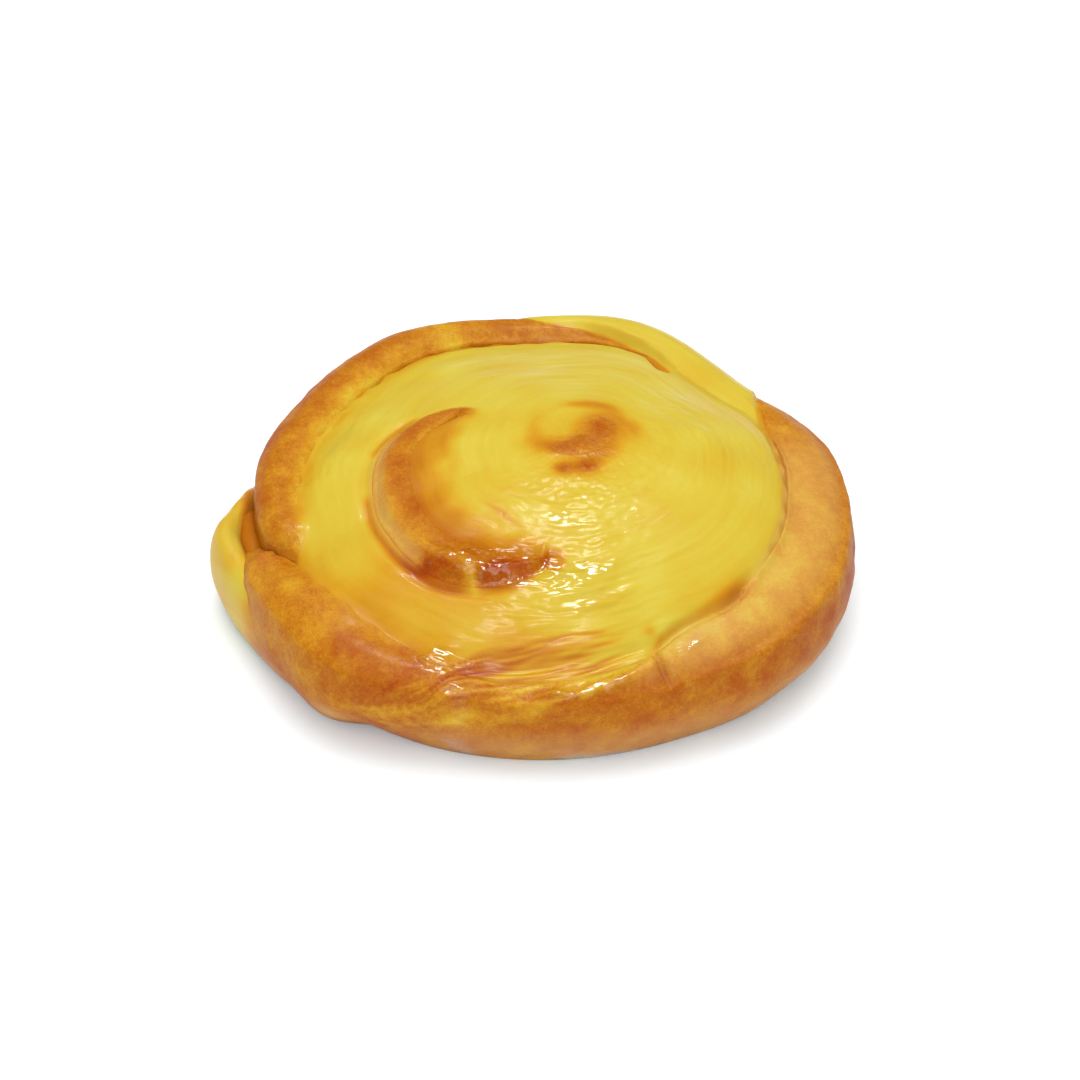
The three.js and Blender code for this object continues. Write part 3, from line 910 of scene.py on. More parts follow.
    def crust_tone(self, angle: np.ndarray, across: np.ndarray) -> np.ndarray:
        """How dark the outer turn is: browning, with painted shade on its shoulder and flank.

        Args:
            angle: directions from the centre.
            across: places across the outer turn.

        Returns:
            Its tones by direction, blended from one line along the turn to the next.
        """
        total = self.tones[0][1](angle)
        for (low, _), (high, curve) in zip(self.tones, self.tones[1:]):
            share = ease(across, low, high)
            total = total * (1.0 - share) + curve(angle) * share
        return total

    def browning(self, x: np.ndarray, y: np.ndarray, z: np.ndarray) -> dict[str, np.ndarray]:
        """How the oven coloured places on the bun.

        Args:
            x: places to the right.
            y: places behind.
            z: heights.

        Returns:
            bake, from 0 for pale custard over golden crust to 1 for nearly burnt, with painted
            shade on the crust's flank and in creases; pale, the part of floury unglazed crust, and
            of painted highlight on the crest line of the front and right and along the crescent's
            outer edge; wet, how rough and shiny the glaze is; swirl, a place drawn together along
            the winding.
        """
        angle, radius, dx, dy = self.polar(x, y)
        across = self.shoulder(angle, radius, z)
        edge = radius - self.inner_edge(angle)
        covered = ease(radius - self.outer_edge(angle), -0.4, 0.5)

        custard = self.custard_tone(dx, dy)
        crust = self.crust_tone(angle, across)
        crust = crust + 0.05 * Waves(22, 8.0)(dx, dy, z) + 0.035 * Waves(23, 3.2)(dx, dy, z)
        fade = self.fade(angle)
        mix = ease(edge, -fade, 0.35 * fade + 0.4)
        bake = custard * (1.0 - mix) + crust * mix
        bake = bake * (1.0 - covered) + custard * covered
        # Darker along the crease at the back.
        bake = bake + 0.16 * within(angle, 57.0, 112.0, 5.0) * bell(edge, 0.2, 0.8)
        bake = self.layer_browning(angle, across, bake)
        bake = bake + spotted(dx, dy, self.spots)
        bake = self.crescent_browning(x, y, bake)
        bake = self.curl_browning(dx, dy, bake)

        # Floury places: the foot, a place at the front left, the corner of the foot there, and
        # beside the fold. The crest line of the front and right is made paler and less brown: a
        # painted highlight.
        round_front = np.where(angle < 100.0, angle + 360.0, angle)
        foot = within(round_front, 258.0, 352.0, 22.0) * ease(across, 0.80, 1.30)
        # top: the crest line of the front and right, a painted highlight.
        top = within(round_front, 304.0, 362.0, 22.0) * within(across, -0.6, 0.3, 0.35)
        left = within(angle, 199.0, 210.0, 6.0) * ease(across, 0.2, 0.8)
        corner = mound(dx, dy, (-35.5, -43.0, 4.5, 2.5, -20.0)) * (1.0 - ease(z, 4.0, 10.0))
        fold = mound(dx, dy, (26.7, -39.4, 2.4, 1.3, 40.0))
        bake = bake - 0.05 * top - 0.15 * corner
        pale = 0.38 * foot + 0.34 * top + 0.06 * left + corner + 0.35 * fold
        pale = pale * (1.0 - covered) * mix
        turn, _, inside_edge, _ = self.crescent_place(x, y)
        # Along the crescent's outer edge the painted highlight also pales the crust.
        pale = pale + 0.45 * self.crescent_painted_highlight(turn, inside_edge)
        wet = 0.10 + spotted(dx, dy, self.wet_places)
        part, way = self.dome_locate(x, y)
        return {
            "bake": np.clip(bake, 0.0, 1.1),
            "pale": np.clip(pale, 0.0, 1.0),
            "wet": np.clip(wet, 0.0, 1.3),
            "swirl": drawn_together(way, part * self.reach),
        }

    def custard_tone(self, dx: np.ndarray, dy: np.ndarray) -> np.ndarray:
        """How brown the custard is: palest at the back, deeper yellow to the front left.

        Args:
            dx: places to the right of the middle of the outer turn.
            dy: places behind it.

        Returns:
            The tone of bare custard there.
        """
        tone = 0.15 + 0.07 * ease(-dy, -10.0, 30.0) * (1.0 - 0.8 * ease(dx, 0.0, 16.0))
        tone = tone + 0.03 * ease(dx, 15.0, 40.0)
        low_left = ease(-dy - 0.9 * dx, 26.0, 46.0) * ease(-dy, 14.0, 34.0)
        return tone + 0.17 * low_left + 0.04 * Waves(21, 14.0)(dx, dy)

    def layer_browning(
        self, angle: np.ndarray, across: np.ndarray, bake: np.ndarray
    ) -> np.ndarray:
        """Adds the pulled layers at the front, with a dark wedge at their root, and the golden
        lip below them, where the crust of the ridge begins.

        Args:
            angle: directions from the centre.
            across: places across the outer turn.
            bake: how brown the places are so far.

        Returns:
            How brown they are now.
        """
        line, shown = self.fan_lines(angle, across)
        root = 0.54 - 0.12 * ease(angle, 254.0, 290.0) + 0.04 * line
        deep = self.wedge(angle)
        wedge = within(line, 0.02, deep - 0.05, 0.08) * (1.0 - 0.8 * ease(angle, 258.0, 284.0))
        gold = within(line, deep + 0.08, deep + 0.14, 0.07) * (1 - 0.6 * ease(angle, 248.0, 262.0))
        low = ease(line, 0.55, 0.75) * (1.0 - ease(angle, 248.0, 257.0))
        spread = ease(angle, 246.0, 262.0)
        red = within(angle, 238.0, 252.0, 6.0) * within(line, 0.0, 0.5, 0.15)
        layers = root + 0.24 * wedge - 0.04 * gold * spread + 0.06 * low - 0.06 * red
        layers = layers + (0.13 + 0.05 * spread) * self.stripes(angle, line)
        bake = bake * (1.0 - 0.9 * shown) + layers * 0.9 * shown
        lip = bell(across - self.fan_lower(angle), 0.07, 0.08) * within(angle, 256.0, 296.0, 8.0)
        return bake - 0.05 * lip

    def crescent_painted_highlight(self, turn: np.ndarray, inside_edge: np.ndarray) -> np.ndarray:
        """A painted highlight along the crescent's outer edge: 1 on its middle line."""
        return bell(inside_edge, 1.5, 1.2) * within(turn, 884.0, 944.0, 8.0)

    def crescent_browning(self, x: np.ndarray, y: np.ndarray, bake: np.ndarray) -> np.ndarray:
        """Adds the browned crescent of crust to the left of the middle, a painted highlight along
        its outer edge, the burnt spots under its front end and a dark line of painted shade in the
        ditch at its outer edge.

        Args:
            x: places to the right.
            y: places behind.
            bake: how brown the places are so far.

        Returns:
            How brown they are now.
        """
        _, _, dx, dy = self.polar(x, y)
        turn, _, inside_edge, past_inner = self.crescent_place(x, y)
        wander = 0.6 * Waves(25, 6.0)(dx, dy)
        body = ease(inside_edge, 0.0, 0.8) * ease(past_inner + wander, -5.5, 0.6)
        body = body * within(turn, 852.0, 990.0, 7.0)
        across = inside_edge / np.maximum(inside_edge + past_inner, 4.0)
        core = bell(across, self.crescent_core(turn), 0.30)
        # The rim along the outer edge is made lighter: a painted highlight.
        tone = 0.50 + 0.21 * core - 0.12 * self.crescent_painted_highlight(turn, inside_edge)
        tone = tone + 0.04 * Waves(24, 7.0)(dx, dy)
        bake = bake * (1.0 - body) + tone * body
        # The dark line in the ditch at the outer edge is painted shade of the crease.
        outline = bell(inside_edge, -0.45, 0.8)
        ditch_shade = 0.30 * within(turn, 868.0, 887.0, 5.0) + 0.36 * within(turn, 914.0, 948.0, 7.0)
        bake = bake + outline * (ditch_shade + 0.05 * within(turn, 870.0, 980.0, 6.0))
        for spot, depth in self.burnt:
            bake = bake + depth * ease(mound(dx, dy, spot), 0.12, 0.7)
        bake = bake - 0.17 * mound(dx, dy, (-9.9, -31.8, 0.7, 1.7, 14.0))
        return bake + 0.32 * mound(dx, dy, (-5.0, -19.5, 3.6, 0.55, -42.0))

    def curl_browning(self, dx: np.ndarray, dy: np.ndarray, bake: np.ndarray) -> np.ndarray:
        """Adds the browned curl in the middle, its two lobes and the orange ring round it.

        Args:
            dx: places to the right of the middle of the outer turn.
            dy: places behind it.
            bake: how brown the places are so far.

        Returns:
            How brown they are now.
        """
        ring_far = np.hypot((dx - 8.4) / 9.2, (dy - 1.0) / 8.2)
        uneven = 0.5 + 0.5 * Waves(27, 9.0)(dx, dy)
        return bake + 0.18 * uneven * bell(ring_far, 0.95, 0.20) + spotted(dx, dy, self.curl_spots)


SKIN = Skin()


# ---------------------------------------------------------------- meshes


def closed_tube(rows: int, columns: int) -> np.ndarray:
    """Quads of a grid of rings that closes on itself round each ring.

    Args:
        rows: number of rings.
        columns: points in each ring.

    Returns:
        Four indices for each face, which point outwards when the rings run along the winding
        and each goes from the outermost place over the crest.
    """
    r, c = np.meshgrid(np.arange(rows - 1), np.arange(columns), indexing="ij")
    a = r * columns + c
    b = r * columns + (c + 1) % columns
    return np.stack([a, a + columns, b + columns, b], -1).reshape(-1, 4)


def fan_cap(ring: np.ndarray, middle: int, outwards: bool) -> np.ndarray:
    """Closes a ring of points with triangles.

    Args:
        ring: the indices of its points.
        middle: the index of the point that they all go to.
        outwards: whether the ring's own order gives faces that point outwards.

    Returns:
        Three indices for each triangle.
    """
    after = np.roll(ring, -1)
    hub = np.full(len(ring), middle)
    pair = (ring, after) if outwards else (after, ring)
    return np.stack([pair[0], pair[1], hub], -1)


def close_bodies(
    grids: list[np.ndarray], ends: np.ndarray | None = None
) -> tuple[np.ndarray, np.ndarray, np.ndarray]:
    """Joins bodies made of rings into one mesh and closes both ends of each.

    Args:
        grids: the points of each body, as rings by places round a ring by 3.
        ends: the two points that close a body; without them they are the means of its first
            and last ring.

    Returns:
        The points, the quads and the triangles.
    """
    points, quads, triangles = [], [], []
    count = 0
    for grid in grids:
        rows, columns, _ = grid.shape
        closing = np.stack([grid[0].mean(0), grid[-1].mean(0)]) if ends is None else ends
        first = np.arange(columns) + count
        hub = count + rows * columns
        points += [grid.reshape(-1, 3), closing]
        quads.append(closed_tube(rows, columns) + count)
        triangles.append(fan_cap(first, hub, True))
        triangles.append(fan_cap(first + (rows - 1) * columns, hub + 1, False))
        count = hub + 2
    return np.concatenate(points), np.concatenate(quads), np.concatenate(triangles)


def sections(winding: Winding, rows: int, around: int) -> tuple[np.ndarray, np.ndarray]:
    """The grid on which a stretch of strip is worked out.

    Args:
        winding: the stretch.
        rows: how many sections it has, from one end to the other.
        around: how many points each has.

    Returns:
        The grid of winding angles and the grid of section angles in radians.
    """
    turn = np.linspace(winding.start, winding.end, rows)
    t = 2 * math.pi * (np.arange(around) + 0.5) / around
    return np.meshgrid(turn, t, indexing="ij")


@dataclass
class Piece:
    """A finished mesh: its points in millimetres, its faces and what is stored on its points."""

    name: str
    points: np.ndarray
    quads: np.ndarray
    triangles: np.ndarray
    stored: dict[str, np.ndarray]
    slot: Slot
    replaces: str

    def make(self, material: bpy.types.Material) -> bpy.types.Object:
        """Puts the piece into the scene, riding on the bun's only body.

        Args:
            material: the finish.

        Returns:
            The object, at the origin, with its place in its mesh.
        """
        mesh = bpy.data.meshes.new(self.name)
        loops = np.concatenate([self.quads.ravel(), self.triangles.ravel()])
        sizes = np.concatenate(
            [np.full(len(self.quads), 4), np.full(len(self.triangles), 3)]
        ).astype(np.int32)
        starts = np.concatenate([[0], np.cumsum(sizes)[:-1]]).astype(np.int32)
        mesh.vertices.add(len(self.points))
        mesh.loops.add(len(loops))
        mesh.polygons.add(len(sizes))
        mesh.vertices.foreach_set("co", (self.points * MM).astype(np.float32).ravel())
        mesh.loops.foreach_set("vertex_index", loops.astype(np.int32))
        mesh.polygons.foreach_set("loop_start", starts)
        mesh.polygons.foreach_set("use_smooth", np.ones(len(sizes), bool))
        mesh.update(calc_edges=True)
        for key, values in self.stored.items():
            if values.ndim == 1:
                layer = mesh.attributes.new(key, "FLOAT", "POINT")
                layer.data.foreach_set("value", values.astype(np.float32))
            else:
                layer = mesh.attributes.new(key, "FLOAT_VECTOR", "POINT")
                layer.data.foreach_set("vector", values.astype(np.float32).ravel())
        mesh.materials.append(material)
        made = bpy.data.objects.new(self.name, mesh)
        bpy.context.scene.collection.objects.link(made)
        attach(made, "root")
        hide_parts(self.replaces)
        count = 2 * len(self.quads) + len(self.triangles)
        low, high = self.points.min(0), self.points.max(0)
        log.info("%s: %d triangles, %s to %s mm", self.name, count, low.round(2), high.round(2))
        return made


@dataclass
class DoughTurns:
    """The dough that shows: the outer turn, and the crescent and curl on the custard."""

    outer_step: float = 0.62  # degrees between sections of the outer turn
    crescent_step: float = 0.6  # degrees between sections of the crescent
    crescent_floor: float = 6.0  # the crescent goes no deeper than this
    curl_half: tuple[float, float] = (9.0, 8.0)  # half width and half depth of the curl
    curl_shift: tuple[float, float] = (0.6, 1.0)  # its middle from the curl's centre
    curl_floor: float = 24.0
    around: int = 84  # points round a section

    def grid(self, winding: Winding, step: float) -> tuple[np.ndarray, np.ndarray]:
        """The grid of winding and section angles, with sections a step of degrees apart."""
        rows = int(round((winding.end - winding.start) / step)) + 1
        return sections(winding, rows, self.around)

    def raised(
        self, x: np.ndarray, y: np.ndarray, z: np.ndarray, upper: np.ndarray, top: np.ndarray
    ) -> np.ndarray:
        """Lifts the upper skin to the bun's surface where it is bare, and keeps it just under
        the custard where it is covered.

        Args:
            x: places to the right.
            y: places behind.
            z: heights on the plain strip.
            upper: 1 on the crest, 0 from the equator down.
            top: the height of the plain strip's own upper skin over each place.

        Returns:
            The new heights.
        """
        height, into = SKIN.surface(x, y)
        bare = 1.0 - ease(into, 0.2, 1.6)
        lift = (height - top) * bare * upper
        dive = 0.35 * ease(into, 0.0, 0.8) * upper
        return z + np.clip(lift, -2.0, 2.5) - dive

    def outer(self) -> np.ndarray:
        """The outer turn from its nose at the front left, once round, to its nose on top.

        Returns:
            Its points, as rings by places round a ring by 3.
        """
        turn, t = self.grid(OUTER_TURN, self.outer_step)
        x, y, z = OUTER_TURN.ring(turn, t)
        upper = ease(np.sin(t), 0.15, 0.6)
        first_lap = np.where(turn < 540.0, OUTER_TURN.top(x, y, 0), OUTER_TURN.missing)
        top = np.maximum(first_lap, OUTER_TURN.top(x, y, 1))
        z = self.raised(x, y, z, upper, np.maximum(top, z))
        return np.stack(self.uneven(x, y, z, turn, t), -1)

    def uneven(
        self, x: np.ndarray, y: np.ndarray, z: np.ndarray, turn: np.ndarray, t: np.ndarray
    ) -> tuple[np.ndarray, np.ndarray, np.ndarray]:
        """Soft dents and wrinkles, less near the base.

        Args:
            x: places to the right.
            y: places behind.
            z: heights.
            turn: winding angles.
            t: places round the section, in radians.

        Returns:
            The places, moved as cos t goes: into the dough by dents of up to 0.56 mm, and
            either way by fine waves. Half of those is added to the height of the upper side.
        """
        dents = 0.32 * Waves(41, 15.0)(x, y, z) + 0.12 * Waves(42, 5.0)(x, y, z)
        fine = 0.035 * Waves(43, 1.6, 40)(x, y, z)
        dents = 0.28 * np.tanh(dents / 0.3) - 0.28
        flank = (dents + fine) * ease(z, 0.5, 4.0) * np.cos(t)
        a = np.radians(turn)
        return x + flank * np.cos(a), y + flank * np.sin(a), z + 0.5 * fine * ease(np.sin(t), 0, 1)

    def crescent(self) -> np.ndarray:
        """The crescent, whose foot stays inside the custard.

        Returns:
            Its points, as rings by places round a ring by 3.
        """
        turn, t = self.grid(CRESCENT, self.crescent_step)
        x, y, z = CRESCENT.ring(turn, t)
        upper = ease(np.sin(t), 0.15, 0.6)
        z = self.raised(x, y, z, upper, np.maximum(CRESCENT.top(x, y, 2), z))
        return np.stack([x, y, np.maximum(z, self.crescent_floor)], -1)

    def curl(self) -> np.ndarray:
        """The rounded end of the strip in the middle: an upright cushion whose top follows
        the bun's skin, from its middle out to its edge and back underneath.

        Returns:
            Its points, as rings by places round a ring by 3.
        """
        over, under = np.linspace(0.03, 1.0, 44), np.linspace(0.97, 0.03, 16)
        angle = 2 * math.pi * np.arange(self.around) / self.around
        p, a = np.meshgrid(np.concatenate([over, under]), angle, indexing="ij")
        x = CURL_CENTRE[0] + self.curl_shift[0] + self.curl_half[0] * p * np.cos(a)
        y = CURL_CENTRE[1] + self.curl_shift[1] + self.curl_half[1] * p * np.sin(a)
        height, into = SKIN.surface(x, y)
        z = height - 0.35 * ease(into, 0.0, 0.8) - 3.5 * ease(p, 0.72, 1.0) ** 2
        z[len(over) :] = self.curl_floor
        return np.stack([x, y, z], -1)

    def build(self) -> Piece:
        """All the dough as one piece of three closed bodies.

        Returns:
            The piece.
        """
        points, quads, triangles = close_bodies([self.outer(), self.crescent(), self.curl()])
        stored = SKIN.browning(*points.T)
        return Piece("dough_turns", points, quads, triangles, stored, Slot.CRUST, "dough")


@dataclass
class CustardFilling:
    """The custard: a dome over the middle that laps over the outer turn at the back right and
    dives under its crust elsewhere, closed by its sides and its underside."""

    spokes: int = 440
    rings: int = 150
    side_rings: int = 30
    lowest: float = -0.9  # where the flank ends on the turn's section, in radians
    lap_from: float = 199.0  # from this direction on the flank follows the turn's first lap
    floor_gap: float = 1.5

    def build(self) -> Piece:
        """The whole filling as one closed mesh.

        Returns:
            The piece: its top, its flank, and a fan of faces at the peak and underneath.
        """
        angle = np.arange(self.spokes) * 360.0 / self.spokes
        part = np.sin(np.linspace(0.0, 1.0, self.rings + 1)[1:] ** 0.9 * math.pi / 2)
        p, a = np.meshgrid(part, angle, indexing="ij")
        x, y = SKIN.dome_plan(p, a)
        height, into = SKIN.surface(x, y)
        true_angle, radius, _, _ = SKIN.polar(x, y)
        z = height + SKIN.custard_relief(x, y) * ease(into, 0.0, 2.0)
        z = z + SKIN.film_over(true_angle, radius, into)
        top = np.stack([x, y, z], -1)
        peak_z, _ = SKIN.surface(np.array([CURL_CENTRE[0]]), np.array([CURL_CENTRE[1]]))
        ends = np.array([[*CURL_CENTRE, float(peak_z[0])], [*OUTER_CENTRE, self.floor_gap]])
        grid = np.concatenate([top, self.side(angle)], 0)
        points, quads, triangles = close_bodies([grid], ends)
        stored = SKIN.browning(*points.T)
        under = 1.0 - ease(points[:, 2], self.floor_gap + 0.5, self.floor_gap + 3.0)
        stored["bake"] = stored["bake"] * (1 - under) + 0.7 * under
        return Piece("custard_filling", points, quads, triangles, stored, Slot.CUSTARD, "custard")

    def side(self, angle: np.ndarray) -> np.ndarray:
        """The custard's flank, from the crest line of the outer turn down to its underside:
        it follows the turn's section, outside it where custard laps over and inside it
        elsewhere.

        Args:
            angle: directions from the centre.

        Returns:
            Its points, as rings by directions by 3.
        """
        t = np.linspace(math.pi / 2, self.lowest, self.side_rings + 1)[1:]
        grid_t, grid_a = np.meshgrid(t, angle, indexing="ij")
        late = np.minimum(grid_a + 360.0, OUTER_TURN.end - 1.0)
        early = np.maximum(grid_a, OUTER_TURN.start + 1.0)
        on_first = grid_a > self.lap_from
        own = OUTER_TURN.ring(np.where(on_first, early, late), grid_t)
        later_lap = OUTER_TURN.ring(late, grid_t)
        share = np.where(on_first, ease(grid_a, *LAP_CHANGE), 1.0)
        x, y, z = (b * (1.0 - share) + a * share for a, b in zip(own, later_lap))
        true_angle, radius, _, _ = SKIN.polar(x, y)
        into = SKIN.cover(true_angle, radius)
        coated = radius - SKIN.outer_edge(true_angle)
        # At the back right the coat thickens slowly along the flank from nothing.
        coated = np.where(true_angle < 60.0, 0.22 * (true_angle - 36.0), coated)
        into = np.minimum(into, coated + 7.0 * ease(grid_t, 0.75, 1.2))
        inward = 2.0 * ease(-into, 0.0, 2.0)
        film = SKIN.film_over(true_angle, radius, into) - inward * ease(grid_t, math.pi / 2, 0.9)
        a = np.radians(true_angle)
        x = x + film * np.cos(grid_t) * np.cos(a)
        y = y + film * np.cos(grid_t) * np.sin(a)
        z = z + film * np.maximum(np.sin(grid_t), 0.0)
        return np.stack([x, y, np.maximum(z, self.floor_gap)], -1)


@dataclass
class LeftBulge:
    """Custard that was squeezed out over the strip's tail on the left, and a body in the crevice
    beside the turn above, coloured dark brown as painted shade of the crevice."""

    stations: tuple[Station, ...] = (
        Station("top", 160, 49.9, 3.0, 2.0, 6.0),
        Station("upper", 170, 50.9, 3.2, 2.2, 13.0),
        Station("shoulder", 178, 51.6, 3.2, 2.3, 16.2),
        Station("bend", 182, 52.8, 3.0, 2.8, 16.4),
        Station("widest", 188, 54.6, 3.4, 3.3, 17.0),
        Station("middle", 194, 53.9, 3.4, 3.2, 16.4),
        Station("lower", 204, 51.9, 3.8, 3.5, 15.0),
        Station("foot", 213, 50.2, 4.2, 4.3, 12.5),
        Station("end", 223, 49.0, 4.0, 4.6, 9.0),
    )
    # The body in the crevice: a dark shape that stands for the shade there.
    crevice_shade: tuple[Station, ...] = (
        Station("seam begins", 172, 50.6, 2.0, 2.2, 13.0),
        Station("crevice_shade", 186, 50.5, 3.4, 2.9, 15.6),
        Station("seam ends", 205, 48.6, 3.8, 2.6, 14.4),
    )
    around: int = 72
    step: float = 0.4  # degrees between sections
    floor_gap: float = 0.7

    def body(self, stations: tuple[Station, ...]) -> np.ndarray:
        """One of the two closed bodies.

        Args:
            stations: where it runs.

        Returns:
            Its points, as rings by places round a ring by 3.
        """
        winding = Winding(stations=stations, centre=OUTER_CENTRE)
        rows = int((winding.end - winding.start) / self.step) + 1
        x, y, z = winding.ring(*sections(winding, rows, self.around))
        z = np.maximum(z, self.floor_gap)
        z = z + 0.18 * Waves(51, 7.0)(x, y, z) * ease(z, 2.0, 6.0)
        return np.stack([x, y, z], -1)

    def build(self) -> Piece:
        """Both bodies as one piece.

        Returns:
            The piece, brown at its foot and along the turn above, and darkest in the crevice body,
            whose colour is painted shade.
        """
        bulge, crevice_shade_body = self.body(self.stations), self.body(self.crevice_shade)
        points, quads, triangles = close_bodies([bulge, crevice_shade_body])
        crevice_shade = np.zeros(len(points))
        crevice_shade[bulge.shape[0] * bulge.shape[1] + 2 :] = 1.0
        angle, radius, dx, dy = SKIN.polar(points[:, 0], points[:, 1])
        z = points[:, 2]
        bake = 0.27 + 0.07 * Waves(52, 9.0)(dx, dy, z) + 0.40 * ease(angle, 203.0, 212.0)
        bake = bake + 0.10 * (1 - ease(z, 4.0, 12.0))
        bake = bake + 0.3 * ease(52.4 - radius, 0.0, 1.6) * (1 - ease(angle, 205.0, 215.0))
        # The crevice body is coloured dark brown: painted shade.
        bake = bake * (1 - crevice_shade) + crevice_shade * 0.70
        stored = {
            "bake": np.clip(bake, 0, 1.1),
            "pale": 0.05 * (1 - crevice_shade),
            "wet": 0.1 * (1 - crevice_shade),
            "swirl": drawn_together(angle, radius + z),
        }
        return Piece(
            "custard_left_bulge", points, quads, triangles, stored, Slot.CUSTARD, "custard"
        )


# ---------------------------------------------------------------- finishes


def linear(colour: str) -> tuple[float, float, float, float]:
    """An sRGB hex colour as linear light.

    Args:
        colour: a hash and six hex digits.

    Returns:
        Red, green, blue and 1: c / 12.92 up to 0.04045, and ((c + 0.055) / 1.055) ^ 2.4 above.
    """
    parts = [int(colour[i : i + 2], 16) / 255.0 for i in (1, 3, 5)]
    made = [c / 12.92 if c <= 0.04045 else ((c + 0.055) / 1.055) ** 2.4 for c in parts]
    return (made[0], made[1], made[2], 1.0)


def add_node(
    tree: bpy.types.NodeTree,
    kind: str,
    settings: dict[str, Any] | None = None,
    values: dict[str | int, Any] | None = None,
    links: dict[str | int, bpy.types.NodeSocket] | None = None,
) -> bpy.types.Node:
    """Adds a node.

    Args:
        tree: the material's nodes.
        kind: the node's type.
        settings: its properties.
        values: constants for its input sockets, by name or number.
        links: sockets that feed its inputs.

    Returns:
        The node.
    """
    node = tree.nodes.new(kind)
    for key, value in (settings or {}).items():
        setattr(node, key, value)
    for key, value in (values or {}).items():
        node.inputs[key].default_value = value
    for key, socket in (links or {}).items():
        tree.links.new(socket, node.inputs[key])
    return node


# Colours of the bake from pale custard over gold and brown to nearly burnt.
BAKE_COLOURS = (
    (0.00, "#cfbf4e"),
    (0.15, "#cab239"),
    (0.30, "#c9a42a"),
    (0.42, "#c7911d"),
    (0.54, "#bf8017"),
    (0.66, "#b46d10"),
    (0.78, "#ab5c0b"),
    (0.88, "#a54b05"),
    (1.00, "#953c04"),
)


